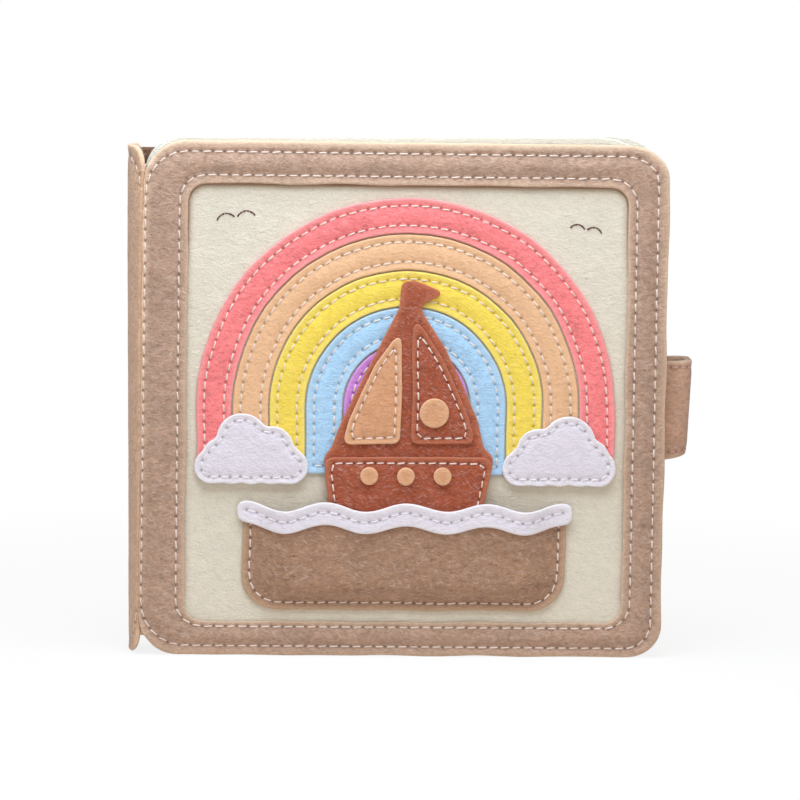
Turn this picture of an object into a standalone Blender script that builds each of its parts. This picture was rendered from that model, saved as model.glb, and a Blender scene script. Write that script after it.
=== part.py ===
"""A closed felt quiet book, standing on its bottom edge with its front cover towards -Y.

The spine is at -X, the fore-edge at +X. Two covers and a spine strip fold about two upright creases.
Three leaves hang on the spine's lining. A strap on the back cover reaches round the fore-edge, and its
tongue tucks in behind the rim of the front cover. The front cover carries a sewn felt picture: a
rainbow, two clouds and a pocket that holds a loose felt boat.

The pieces are drawn in the book's own coordinates, in metres: x from the crease to the fore-edge,
y from the front face of the front cover to the back, and z up from the bottom edge.
"""

from math import asin, cos, pi, radians, sin, sqrt, tan

import bmesh
import bpy
from mathutils import Vector

# Felts
COVER_FELT = 0.0020
LINING_FELT = 0.0016
LEAF_FELT = 0.0016
STRAP_FELT = 0.0010
PATCH_FELT = 0.0012
STRIP_THICKNESS = 0.0008
LAYER_GAP = 0.0003

# Covers
COVER_WIDTH = 0.200
COVER_HEIGHT = 0.196
COVER_CORNER = 0.0125
LINING_INSET = 0.0008
CREASE_INSET = 0.0015

# Window in the front cover's frame
BORDER_SPINE = 0.0165
BORDER_FORE = 0.0155
BORDER_TOP = 0.0153
BORDER_BOTTOM = 0.0130
WINDOW_CORNER = 0.0070

# Leaves
LEAF_COUNT = 3
LEAF_AIR = 0.0015
LEAF_RISE = 0.0018
LEAF_BOTTOM = 0.0022
LEAF_FORE_INSET = 0.0055
LEAF_CORNER = 0.0130

# Spine
SPINE_ARCH = 0.0050
SPINE_CORNER = 0.0110
SPINE_LINING_SHARE = 0.82

# Strap
STRAP_BOTTOM = 0.0760
STRAP_TOP = 0.1140
STRAP_REACH = 0.0107
STRAP_BEND = 0.0040
STRAP_HINGE_INSET = 0.0100
STRAP_CREASE = 0.0022
STRAP_ROOT_LENGTH = 0.0220
TONGUE_CLEARANCE = 0.0008
TONGUE_CORNER = 0.0015
FASTENER_MARGIN = 0.0040
FASTENER_CLEARANCE = 0.0004

# Rainbow, from the window's edge, the pocket's rim and the space under its innermost band
RAINBOW_SIDE_MARGIN = 0.0040
RAINBOW_TOP_MARGIN = 0.0047
RAINBOW_FOOT_RISE = 0.0130
RAINBOW_OPENING = 0.0106
BAND_GAP = 0.0006

# Clouds, between the boat and the window's edge
CLOUD_SIDE_MARGIN = 0.0030
CLOUD_BOAT_CLEARANCE = 0.0030
CLOUD_RISE = 0.0090

# Pocket
POCKET_WIDTH = 0.1240
POCKET_BOTTOM = 0.0175
POCKET_RIM = 0.0570
POCKET_CORNER = 0.0140
POCKET_SEAM = 0.0035
POCKET_RAMP = 0.0060
POCKET_SIDE_RAMP = 0.0140
WAVE_HEIGHT = 0.0020
RIM_BAND_HEIGHT = 0.0088
RIM_BAND_RISE = 0.0010
RIM_BAND_END = 0.0025

# Boat
BOAT_CLEARANCE = 0.0004
BOAT_LENGTH = 0.0680
BOAT_DECK = 0.0770
BOAT_TOP = 0.1445
BOAT_CORNER = 0.0040
SAIL_MARGIN = 0.0026
SAIL_FOOT = 0.0050
SAIL_CORNER = 0.0025
MAST_WIDTH = 0.0040
PORTHOLE_RADIUS = 0.0036
PORTHOLE_PITCH = 0.0140
PORTHOLE_DROP = 0.0072
SAIL_DISC_RADIUS = 0.0058

# Cutting
CUT_OVERRUN = 0.0003
WELD_DISTANCE = 0.000001

# Counts
CORNER_STEPS = 7
NOSE_STEPS = 6
SPINE_STEPS = 12
BEND_STEPS = 6
ARCH_STEPS = 26
CLOUD_STEPS = 56
DISC_STEPS = 20
POCKET_COLUMN_COUNT = 32
POCKET_ROW_COUNT = 10
RIM_ROW_COUNT = 2
WAVE_COUNT = 4
BAND_COUNT = 5
PORTHOLE_COUNT = 3

# Share of the pocket's rows that its sewn edge and the swell above it take
POCKET_LOW_SHARE = 0.4

# Most of a side that one rounded corner takes
CORNER_SHARE = 0.42

# Lobes of a cloud: x, z and radius, as shares of its width
CLOUD_LOBE_SHARES = (
    (-0.34, -0.14, 0.16),
    (-0.17, -0.14, 0.16),
    (0.0, -0.14, 0.16),
    (0.17, -0.14, 0.16),
    (0.34, -0.14, 0.16),
    (-0.18, 0.02, 0.19),
    (0.08, 0.09, 0.23),
    (0.28, -0.04, 0.15),
)

# Corners of the hull: x as a share of the boat's length, z as a share of the hull's height from the deck
HULL_SHARES = ((-0.30, -1.0), (0.27, -1.0), (0.42, -0.55), (0.50, 0.0), (-0.46, 0.0), (-0.42, -0.55))

# Corners of the two sails together: x as a share of the boat's length, z of the height above the deck
RIG_SHARES = (
    (0.44, 0.05),
    (0.40, 0.22),
    (0.22, 0.62),
    (0.05, 0.86),
    (0.22, 0.93),
    (0.05, 1.0),
    (-0.04, 1.0),
    (-0.05, 0.84),
    (-0.22, 0.50),
    (-0.38, 0.17),
    (-0.42, 0.05),
)
MAINSAIL_SHARES = ((0.0, 0.0), (1.0, 0.0), (0.90, 0.20), (0.46, 0.68), (0.0, 1.0))
MAINSAIL_SIZE_SHARES = (0.36, 0.74)
JIB_SIZE_SHARES = (0.33, 0.66)

# Depths of the stack, from the front face of the front cover
PANEL_FRONT = COVER_FELT + LAYER_GAP
FRONT_LINING_FRONT = PANEL_FRONT + LINING_FELT + LAYER_GAP
FRONT_COVER_BACK = FRONT_LINING_FRONT + LINING_FELT
LEAF_THICKNESS = 2 * LEAF_FELT + LAYER_GAP
LEAF_PITCH = LEAF_THICKNESS + LEAF_AIR
BACK_LINING_FRONT = FRONT_COVER_BACK + LEAF_AIR + LEAF_COUNT * LEAF_PITCH
BACK_OUTER_FRONT = BACK_LINING_FRONT + LINING_FELT + LAYER_GAP
BOOK_BACK = BACK_OUTER_FRONT + COVER_FELT
LEAF_FORE_EDGE = COVER_WIDTH - LEAF_FORE_INSET

# Creases, on the middle of the outer felts
CREASE_RADIUS = COVER_FELT / 2
FRONT_CREASE = CREASE_RADIUS
BACK_CREASE = BOOK_BACK - CREASE_RADIUS
SPINE_HALF_CHORD = (BACK_CREASE - FRONT_CREASE) / 2
SPINE_MIDDLE = (BACK_CREASE + FRONT_CREASE) / 2
SPINE_RADIUS = (SPINE_HALF_CHORD**2 + SPINE_ARCH**2) / (2 * SPINE_ARCH)
SPINE_CENTRE_X = SPINE_RADIUS - SPINE_ARCH
SPINE_LINING_OUTER = SPINE_RADIUS - COVER_FELT / 2 - LAYER_GAP
SPINE_LINING_INNER = SPINE_LINING_OUTER - LINING_FELT

# Leaf hinges, a gap away from the spine's lining
LEAF_NOSE = LEAF_THICKNESS / 2
LEAF_AXIS_RADIUS = SPINE_LINING_INNER - LAYER_GAP - LEAF_NOSE

# Strap
STRAP_THICKNESS = 2 * STRAP_FELT + LAYER_GAP
STRAP_NOSE = STRAP_THICKNESS / 2
STRAP_BACK = BOOK_BACK + LAYER_GAP
STRAP_HINGE_X = COVER_WIDTH - STRAP_HINGE_INSET
STRAP_HINGE_Y = STRAP_BACK + STRAP_NOSE
FASTENER_FRONT = FRONT_COVER_BACK + LAYER_GAP
TONGUE_FRONT = FASTENER_FRONT + 2 * STRIP_THICKNESS + FASTENER_CLEARANCE + LAYER_GAP
TONGUE_BACK = TONGUE_FRONT + STRAP_THICKNESS
TONGUE_TIP = LEAF_FORE_EDGE + TONGUE_CLEARANCE
STRAP_WEB = COVER_WIDTH + STRAP_REACH - STRAP_THICKNESS

# Picture
WINDOW_RIGHT = COVER_WIDTH - BORDER_FORE
WINDOW_TOP = COVER_HEIGHT - BORDER_TOP
PICTURE_X = (BORDER_SPINE + WINDOW_RIGHT) / 2
WINDOW_HALF_WIDTH = WINDOW_RIGHT - PICTURE_X
RAINBOW_RADIUS = WINDOW_HALF_WIDTH - RAINBOW_SIDE_MARGIN
RAINBOW_CENTRE = WINDOW_TOP - RAINBOW_TOP_MARGIN - RAINBOW_RADIUS
RAINBOW_FOOT = POCKET_RIM + RAINBOW_FOOT_RISE
BAND_PITCH = (RAINBOW_RADIUS - RAINBOW_OPENING + BAND_GAP) / BAND_COUNT
BAND_WIDTH = BAND_PITCH - BAND_GAP
CLOUD_WIDTH = WINDOW_HALF_WIDTH - CLOUD_SIDE_MARGIN - BOAT_LENGTH / 2 - CLOUD_BOAT_CLEARANCE
CLOUD_OFFSET = WINDOW_HALF_WIDTH - CLOUD_SIDE_MARGIN - CLOUD_WIDTH / 2
CLOUD_LEVEL = RAINBOW_FOOT + CLOUD_RISE
BAND_FRONT = PANEL_FRONT - LAYER_GAP - PATCH_FELT
CLOUD_FRONT = BAND_FRONT - LAYER_GAP - PATCH_FELT
BOAT_BACK_FRONT = BAND_FRONT - BOAT_CLEARANCE - PATCH_FELT
BOAT_FACE_FRONT = BOAT_BACK_FRONT - LAYER_GAP - PATCH_FELT
BOAT_TRIM_FRONT = BOAT_FACE_FRONT - LAYER_GAP - PATCH_FELT
POCKET_MIDDLE = BOAT_FACE_FRONT - BOAT_CLEARANCE - PATCH_FELT / 2
POCKET_FLAT = PANEL_FRONT - LAYER_GAP - PATCH_FELT / 2
POCKET_BULGE = POCKET_FLAT - POCKET_MIDDLE
RIM_BAND_STEP = PATCH_FELT + LAYER_GAP
POCKET_LOW = POCKET_SEAM + POCKET_RAMP
BOAT_KEEL = POCKET_BOTTOM + POCKET_LOW + LAYER_GAP
SAIL_BASE = BOAT_DECK + SAIL_FOOT
RIG_HEIGHT = BOAT_TOP - BOAT_DECK
HULL_HEIGHT = BOAT_DECK - BOAT_KEEL

# The whole book, for the place of its origin under its middle
BOOK_LEFT = -SPINE_ARCH - COVER_FELT / 2
BOOK_RIGHT = COVER_WIDTH + STRAP_REACH
BOOK_FRONT = POCKET_MIDDLE - RIM_BAND_STEP - PATCH_FELT / 2
STRAP_OUTSIDE = STRAP_BACK + STRAP_THICKNESS

# Colours, as seen on a screen
TAUPE = (176, 150, 131)
SPINE_TAUPE = (200, 168, 140)
LINING_BROWN = (150, 116, 92)
CREAM = (229, 221, 198)
LEAF_CREAM = (245, 241, 222)
PINK = (250, 131, 137)
PEACH = (237, 178, 127)
YELLOW = (242, 214, 74)
BLUE = (166, 205, 234)
PURPLE = (196, 123, 211)
WHITE = (241, 238, 242)
RUST = (151, 80, 60)
TAN = (229, 172, 122)
POCKET_TAUPE = (166, 136, 104)
BAND_COLOURS = {
    "rainbow_band_pink": PINK,
    "rainbow_band_peach": PEACH,
    "rainbow_band_yellow": YELLOW,
    "rainbow_band_blue": BLUE,
    "rainbow_band_purple": PURPLE,
}
FELT_ROUGHNESS = 0.95
SCREEN_GAMMA = 2.2
SCREEN_WHITE = 255


def clear_scene():
    """Remove every object of the scene."""
    for old in list(bpy.data.objects):
        bpy.data.objects.remove(old, do_unlink=True)


def collection(name):
    """Make a collection in the scene."""
    group = bpy.data.collections.new(name)
    bpy.context.scene.collection.children.link(group)
    return group


def felt_material(name, colour):
    """Make a dull felt of a screen colour."""
    material = bpy.data.materials.new(name)
    material.use_nodes = True
    shader = material.node_tree.nodes["Principled BSDF"]
    linear = [(channel / SCREEN_WHITE) ** SCREEN_GAMMA for channel in colour]
    shader.inputs["Base Color"].default_value = (*linear, 1)
    shader.inputs["Roughness"].default_value = FELT_ROUGHNESS
    shader.inputs["Metallic"].default_value = 0
    return material


def add_frames():
    """Make the empties that the pieces hang on, each on the axis that its body turns about."""
    middle = (-(BOOK_LEFT + BOOK_RIGHT) / 2, -(BOOK_FRONT + STRAP_OUTSIDE) / 2, 0)
    add_frame("book_origin", (0, 0, 0), None)
    FRAMES["book_origin"].location = middle
    add_frame("back_cover_axis", (0, BACK_CREASE, 0), "book_origin")
    add_frame("spine_axis", (0, BACK_CREASE, 0), "back_cover_axis")
    add_frame("front_cover_axis", (0, FRONT_CREASE, 0), "spine_axis")
    for number in range(LEAF_COUNT):
        add_frame(f"leaf_{number + 1}_axis", (*leaf_axis(number), 0), "spine_axis")
    add_frame("strap_axis", (STRAP_HINGE_X, STRAP_HINGE_Y, 0), "back_cover_axis")
    add_frame("boat_axis", (PICTURE_X, BOAT_BACK_FRONT, BOAT_KEEL), "front_cover_axis")


def add_frame(name, place, parent):
    """Make an empty at a place in the book's coordinates."""
    empty = bpy.data.objects.new(name, None)
    empty.empty_display_size = COVER_CORNER
    BOOK.objects.link(empty)
    FRAMES[name] = empty
    PLACES[name] = Vector(place)
    if parent:
        empty.parent = FRAMES[parent]
        empty.location = PLACES[name] - PLACES[parent]


def hang(piece, frame, place, colour):
    """Put a piece at a place in the book's coordinates, under an empty, in a felt of its own."""
    piece.parent = FRAMES[frame]
    piece.location = Vector(place) - PLACES[frame]
    piece.data.materials.clear()
    piece.data.materials.append(felt_material(f"{piece.name}_felt", colour))
    return piece


def arc(centre, radius, start, end, steps):
    """Return the points of an arc between two angles in degrees."""
    turn = radians(end - start) / steps
    angles = [radians(start) + turn * step for step in range(steps + 1)]
    return [(centre[0] + radius * cos(angle), centre[1] + radius * sin(angle)) for angle in angles]


def rounded_box(left, right, bottom, top, radius):
    """Return a rectangle's outline with round corners."""
    inner_left = left + radius
    inner_right = right - radius
    inner_bottom = bottom + radius
    inner_top = top - radius
    centres = (
        (inner_right, inner_bottom),
        (inner_right, inner_top),
        (inner_left, inner_top),
        (inner_left, inner_bottom),
    )
    outline = []
    for quarter, centre in enumerate(centres):
        start = 90 * (quarter - 1)
        outline += arc(centre, radius, start, start + 90, CORNER_STEPS)
    return outline


def rounded_corners(corners, radius):
    """Return the outline through the corners, each rounded as far as its two sides allow."""
    outline = []
    for number, place in enumerate(corners):
        corner = Vector(place)
        back = Vector(corners[number - 1]) - corner
        ahead = Vector(corners[(number + 1) % len(corners)]) - corner
        setback = min(radius / tan(back.angle(ahead) / 2), CORNER_SHARE * min(back.length, ahead.length))
        start = corner + back.normalized() * setback
        end = corner + ahead.normalized() * setback
        for step in range(CORNER_STEPS + 1):
            share = step / CORNER_STEPS
            outline.append(tuple(start.lerp(corner, share).lerp(corner.lerp(end, share), share)))
    return outline


def extruded(name, outlines, depth):
    """Return a flat outline, with any holes after it, as a curve object that is DEPTH thick."""
    curve = bpy.data.curves.new(name, "CURVE")
    curve.dimensions = "2D"
    curve.fill_mode = "BOTH"
    curve.extrude = depth / 2
    for outline in outlines:
        spline = curve.splines.new("POLY")
        spline.points.add(len(outline) - 1)
        for point, (across, along) in zip(spline.points, outline):
            point.co = (across, along, 0, 1)
        spline.use_cyclic_u = True
    shape = bpy.data.objects.new(name, curve)
    BOOK.objects.link(shape)
    return shape


def as_mesh(shape):
    """Replace a curve object by a mesh object of the same form, with its caps welded on."""
    bpy.context.view_layer.update()
    depsgraph = bpy.context.evaluated_depsgraph_get()
    name = shape.name
    curve = shape.data
    mesh = bpy.data.meshes.new_from_object(shape.evaluated_get(depsgraph))
    matrix = shape.matrix_world.copy()
    bpy.data.objects.remove(shape)
    bpy.data.curves.remove(curve)
    body = bmesh.new()
    body.from_mesh(mesh)
    bmesh.ops.remove_doubles(body, verts=body.verts, dist=WELD_DISTANCE)
    bmesh.ops.recalc_face_normals(body, faces=body.faces)
    body.to_mesh(mesh)
    body.free()
    mesh.name = name
    solid = bpy.data.objects.new(name, mesh)
    solid.matrix_world = matrix
    BOOK.objects.link(solid)
    return solid


def upright_felt(name, outlines, front, thickness, frame, colour):
    """Make a felt cut in the X-Z plane, with its front face at a depth."""
    felt = extruded(name, outlines, thickness)
    felt.rotation_euler = (pi / 2, 0, 0)
    return hang(felt, frame, (0, front + thickness / 2, 0), colour)


def plan_felt(name, outline, bottom, top, frame, colour):
    """Make a felt drawn in plan, in the X-Y plane, between two levels."""
    felt = extruded(name, [outline], top - bottom)
    return hang(felt, frame, (0, 0, (bottom + top) / 2), colour)


def trimmed_felt(name, plan, cutter, frame, colour):
    """Make a felt drawn in plan and cut to the outline that a cutter gives its face."""
    height = COVER_HEIGHT + LEAF_RISE + 2 * CUT_OVERRUN
    felt = as_mesh(extruded(name, [plan], height))
    hang(felt, frame, (0, 0, height / 2 - CUT_OVERRUN), colour)
    cut = felt.modifiers.new("outline", "BOOLEAN")
    cut.operation = "INTERSECT"
    cut.solver = "EXACT"
    cut.object = cutter
    return felt


def face_cutter(name, outlines, front, back):
    """Make a cutter with an outline in the X-Z plane, from one depth to another."""
    depth = back - front + 2 * CUT_OVERRUN
    cutter = extruded(name, outlines, depth)
    cutter.rotation_euler = (pi / 2, 0, 0)
    return as_cutter(cutter, (0, (front + back) / 2, 0))


def side_cutter(name, outline, left, right):
    """Make a cutter with an outline in the Y-Z plane, from one x to another."""
    depth = right - left + 2 * CUT_OVERRUN
    cutter = extruded(name, [outline], depth)
    cutter.rotation_euler = (pi / 2, 0, pi / 2)
    return as_cutter(cutter, ((left + right) / 2, 0, 0))


def as_cutter(shape, place):
    """Turn a curve object into a cutter at a place in the book's coordinates."""
    cutter = as_mesh(shape)
    BOOK.objects.unlink(cutter)
    CUTTERS.objects.link(cutter)
    cutter.parent = FRAMES["book_origin"]
    cutter.location = place
    cutter.hide_render = True
    cutter.display_type = "WIRE"
    return cutter


def cover_plan(front):
    """Return the plan of an outer cover felt, with its half-round edge on the crease."""
    back = front + COVER_FELT
    far = COVER_WIDTH + CUT_OVERRUN
    crease = arc((0, front + CREASE_RADIUS), CREASE_RADIUS, 90, 270, 2 * NOSE_STEPS)
    return [(far, front), (far, back)] + crease


def add_covers():
    """Make the two covers' outer felts, linings and the cream panel of the front cover."""
    left = -CREASE_RADIUS - CUT_OVERRUN
    edge = rounded_box(left, COVER_WIDTH, 0, COVER_HEIGHT, COVER_CORNER)
    window = rounded_box(BORDER_SPINE, WINDOW_RIGHT, BORDER_BOTTOM, WINDOW_TOP, WINDOW_CORNER)
    frame_cutter = face_cutter("frame_outline", [edge, window], 0, COVER_FELT)
    back_cutter = face_cutter("back_outline", [edge], BACK_OUTER_FRONT, BOOK_BACK)
    trimmed_felt("front_cover_frame", cover_plan(0), frame_cutter, "front_cover_axis", TAUPE)
    trimmed_felt("back_cover_outer", cover_plan(BACK_OUTER_FRONT), back_cutter, "back_cover_axis", TAUPE)
    inner_edge = rounded_box(
        CREASE_INSET,
        COVER_WIDTH - LINING_INSET,
        LINING_INSET,
        COVER_HEIGHT - LINING_INSET,
        COVER_CORNER - LINING_INSET,
    )
    inner = (
        ("front_cover_panel", PANEL_FRONT, "front_cover_axis", CREAM),
        ("front_cover_lining", FRONT_LINING_FRONT, "front_cover_axis", TAUPE),
        ("back_cover_lining", BACK_LINING_FRONT, "back_cover_axis", TAUPE),
    )
    for name, front, frame, colour in inner:
        upright_felt(name, [inner_edge], front, LINING_FELT, frame, colour)


def spine_plan(inner, outer, reach):
    """Return the plan of an arched strip between two radii, REACH radians to each side of its middle."""
    centre = (SPINE_CENTRE_X, SPINE_MIDDLE)
    half = reach * 180 / pi
    outside = arc(centre, outer, 180 - half, 180 + half, SPINE_STEPS)
    inside = arc(centre, inner, 180 + half, 180 - half, SPINE_STEPS)
    return outside + inside


def add_spine():
    """Make the arched spine strip and its lining, with rounded corners that leave the V notches."""
    half_angle = asin(SPINE_HALF_CHORD / SPINE_RADIUS)
    clear = half_angle - (CREASE_RADIUS + LAYER_GAP) / SPINE_RADIUS
    outer_edge = rounded_box(FRONT_CREASE, BACK_CREASE, 0, COVER_HEIGHT, SPINE_CORNER)
    lining_edge = rounded_box(
        FRONT_CREASE,
        BACK_CREASE,
        LINING_INSET,
        COVER_HEIGHT - LINING_INSET,
        SPINE_CORNER,
    )
    outer_cutter = side_cutter("spine_outline", outer_edge, BOOK_LEFT, COVER_CORNER)
    lining_cutter = side_cutter("spine_lining_outline", lining_edge, BOOK_LEFT, COVER_CORNER)
    plan = spine_plan(SPINE_RADIUS - COVER_FELT / 2, SPINE_RADIUS + COVER_FELT / 2, clear)
    trimmed_felt("spine_outer", plan, outer_cutter, "spine_axis", SPINE_TAUPE)
    plan = spine_plan(SPINE_LINING_INNER, SPINE_LINING_OUTER, clear * SPINE_LINING_SHARE)
    trimmed_felt("spine_lining", plan, lining_cutter, "spine_axis", LINING_BROWN)


def leaf_axis(number):
    """Return the place of a leaf's hinge in plan."""
    middle = FRONT_COVER_BACK + LEAF_AIR + number * LEAF_PITCH + LEAF_NOSE
    across = SPINE_CENTRE_X - sqrt(LEAF_AXIS_RADIUS**2 - (middle - SPINE_MIDDLE) ** 2)
    return across, middle


def half_nose(radius, side):
    """Return a quarter-round end about the origin, from its flat face to the gap between two felts."""
    slip = asin(LAYER_GAP / 2 / radius) * 180 / pi
    return arc((0, 0), radius, side * 90, side * (180 - slip), NOSE_STEPS)


def add_leaves():
    """Make the leaves, each of two felts whose inner edges round the leaf's hinge."""
    far = LEAF_FORE_EDGE + CUT_OVERRUN
    for number in range(LEAF_COUNT):
        leaf = f"leaf_{number + 1}"
        across, middle = leaf_axis(number)
        left = across - LEAF_NOSE - CUT_OVERRUN
        top = COVER_HEIGHT + LEAF_RISE
        edge = rounded_box(left, LEAF_FORE_EDGE, LEAF_BOTTOM, top, LEAF_CORNER)
        cutter = face_cutter(f"{leaf}_outline", [edge], middle - LEAF_NOSE, middle + LEAF_NOSE)
        for side, name in ((-1, "front"), (1, "back")):
            nose = half_nose(LEAF_NOSE, side)
            nose = [(across + x, middle + y) for x, y in nose]
            face = middle + side * LEAF_NOSE
            inside = middle + side * LAYER_GAP / 2
            plan = nose + [(far, inside), (far, face)]
            trimmed_felt(f"{leaf}_{name}_sheet", plan, cutter, f"{leaf}_axis", LEAF_CREAM)


def strap_path(offset):
    """Return the strap's course in plan, from tongue to hinge, at a distance outside its inner face."""
    corner = STRAP_WEB - STRAP_BEND
    front = TONGUE_BACK + STRAP_BEND
    back = STRAP_BACK - STRAP_BEND
    path = [(TONGUE_TIP, TONGUE_BACK - offset)]
    path += arc((corner, front), STRAP_BEND + offset, 270, 360, BEND_STEPS)
    path += arc((corner, back), STRAP_BEND + offset, 0, 90, BEND_STEPS)
    return path


def add_strap():
    """Make the strap's two felts round the fore-edge, its sewn root and the fastener behind the rim."""
    inner_nose = [(STRAP_HINGE_X + x, STRAP_HINGE_Y + y) for x, y in half_nose(STRAP_NOSE, -1)]
    outer_nose = [(STRAP_HINGE_X + x, STRAP_HINGE_Y + y) for x, y in half_nose(STRAP_NOSE, 1)]
    lining = strap_path(0) + inner_nose + strap_path(STRAP_FELT)[::-1]
    outer = strap_path(STRAP_FELT + LAYER_GAP)[::-1] + strap_path(STRAP_THICKNESS) + outer_nose
    plan_felt("strap_lining", lining, STRAP_BOTTOM, STRAP_TOP, "strap_axis", TAUPE)
    plan_felt("strap_outer", outer, STRAP_BOTTOM, STRAP_TOP, "strap_axis", TAUPE)
    root_right = STRAP_HINGE_X - STRAP_CREASE
    root = rounded_box(root_right - STRAP_ROOT_LENGTH, root_right, STRAP_BOTTOM, STRAP_TOP, TONGUE_CORNER)
    upright_felt("strap_root", [root], STRAP_BACK, STRAP_THICKNESS, "back_cover_axis", TAUPE)
    strip = rounded_box(
        TONGUE_TIP,
        COVER_WIDTH - LINING_INSET,
        STRAP_BOTTOM + FASTENER_MARGIN,
        STRAP_TOP - FASTENER_MARGIN,
        TONGUE_CORNER,
    )
    loop_front = FASTENER_FRONT + STRIP_THICKNESS + FASTENER_CLEARANCE
    upright_felt("fastener_hook_strip", [strip], FASTENER_FRONT, STRIP_THICKNESS, "front_cover_axis", CREAM)
    upright_felt("fastener_loop_strip", [strip], loop_front, STRIP_THICKNESS, "strap_axis", CREAM)


def arch(radius):
    """Return an arch from its right foot to its left, with straight legs if its centre is above them."""
    leg = RAINBOW_CENTRE - RAINBOW_FOOT
    start = asin(max(-leg, 0) / radius) * 180 / pi
    curve = arc((PICTURE_X, RAINBOW_CENTRE), radius, start, 180 - start, ARCH_STEPS)
    if leg <= 0:
        return curve
    return [(PICTURE_X + radius, RAINBOW_FOOT)] + curve + [(PICTURE_X - radius, RAINBOW_FOOT)]


def add_rainbow():
    """Make the five bands of the rainbow, one inside the other."""
    for number, (name, colour) in enumerate(BAND_COLOURS.items()):
        outer = RAINBOW_RADIUS - number * BAND_PITCH
        band = arch(outer) + arch(outer - BAND_WIDTH)[::-1]
        upright_felt(name, [band], BAND_FRONT, PATCH_FELT, "front_cover_axis", colour)


def cloud_reach(angle):
    """Return how far a cloud reaches from its middle at an angle, as a share of its width."""
    across = cos(angle)
    up = sin(angle)
    reach = 0
    for x, z, radius in CLOUD_LOBE_SHARES:
        along = x * across + z * up
        inside = radius**2 - x**2 - z**2 + along**2
        if inside > 0:
            reach = max(reach, along + sqrt(inside))
    return reach


def add_clouds():
    """Make the clouds over the rainbow's feet, each the outline of its lobes."""
    for side, name in ((-1, "cloud_left"), (1, "cloud_right")):
        outline = []
        for step in range(CLOUD_STEPS):
            angle = 2 * pi * step / CLOUD_STEPS
            reach = cloud_reach(angle) * CLOUD_WIDTH
            across = PICTURE_X + side * (CLOUD_OFFSET + reach * cos(angle))
            outline.append((across, CLOUD_LEVEL + reach * sin(angle)))
        upright_felt(name, [outline], CLOUD_FRONT, PATCH_FELT, "front_cover_axis", WHITE)


def rim_level(across):
    """Return the level of the pocket's wavy edge at a distance from its middle."""
    return POCKET_RIM + WAVE_HEIGHT * cos(2 * pi * WAVE_COUNT * across / POCKET_WIDTH)


def pocket_floor(across):
    """Return the level of the pocket's lower edge, with its round corners."""
    past = abs(across) - (POCKET_WIDTH / 2 - POCKET_CORNER)
    if past <= 0:
        return POCKET_BOTTOM
    return POCKET_BOTTOM + POCKET_CORNER - sqrt(max(POCKET_CORNER**2 - past**2, 0))


def pocket_half_width(level):
    """Return how far the pocket reaches to each side at a level."""
    below = POCKET_CORNER - (level - POCKET_BOTTOM)
    if below <= 0:
        return POCKET_WIDTH / 2
    return POCKET_WIDTH / 2 - POCKET_CORNER + sqrt(max(POCKET_CORNER**2 - below**2, 0))


def swell(distance, ramp):
    """Return how far a sheet has swelled at a distance from its sewn edge, from 0 to 1."""
    share = min(max((distance - POCKET_SEAM) / ramp, 0), 1)
    return share * share * (3 - 2 * share)


def pocket_depth(across, level):
    """Return the depth of the pocket's sheet, which swells forward away from its sewn edge."""
    side = swell(pocket_half_width(level) - abs(across), POCKET_SIDE_RAMP)
    floor = swell(level - pocket_floor(across), POCKET_RAMP)
    return POCKET_FLAT - POCKET_BULGE * side * floor


def felt_sheet(name, rows, place, colour):
    """Make a curved patch from a grid, whose points PLACE finds from -1..1 across and 0..1 up."""
    mesh = bpy.data.meshes.new(name)
    sheet = bmesh.new()
    bmesh.ops.create_grid(sheet, x_segments=POCKET_COLUMN_COUNT, y_segments=rows, size=1)
    for corner in sheet.verts:
        corner.co = place(corner.co.x, (corner.co.y + 1) / 2)
    sheet.to_mesh(mesh)
    sheet.free()
    felt = bpy.data.objects.new(name, mesh)
    BOOK.objects.link(felt)
    wall = felt.modifiers.new("felt", "SOLIDIFY")
    wall.thickness = PATCH_FELT
    wall.offset = 0
    mesh.shade_smooth()
    return hang(felt, "front_cover_axis", (PICTURE_X, 0, 0), colour)


def pocket_place(across_share, up_share):
    """Return a point of the pocket's sheet."""
    across = across_share * POCKET_WIDTH / 2
    floor = pocket_floor(across)
    swell = floor + POCKET_LOW
    if up_share < POCKET_LOW_SHARE:
        level = floor + POCKET_LOW * up_share / POCKET_LOW_SHARE
    else:
        level = swell + (rim_level(across) - swell) * (up_share - POCKET_LOW_SHARE) / (1 - POCKET_LOW_SHARE)
    return across, pocket_depth(across, level), level


def rim_place(across_share, up_share):
    """Return a point of the white band along the pocket's rim, whose ends stand past the pocket."""
    end = RIM_BAND_END if abs(across_share) == 1 else 0
    across = across_share * (POCKET_WIDTH / 2 + end)
    level = rim_level(across) + RIM_BAND_RISE - RIM_BAND_HEIGHT * (1 - up_share)
    return across, pocket_depth(across, level) - RIM_BAND_STEP, level


def add_pocket():
    """Make the pocket, open at its wavy top, and the white band along its rim."""
    felt_sheet("sea_pocket", POCKET_ROW_COUNT, pocket_place, POCKET_TAUPE)
    felt_sheet("pocket_rim_band", RIM_ROW_COUNT, rim_place, WHITE)


def boat_points(shares, width, base, height):
    """Return points given as shares of a width to each side of the boat's middle and of a height."""
    return [(PICTURE_X + x * width, base + z * height) for x, z in shares]


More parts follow.
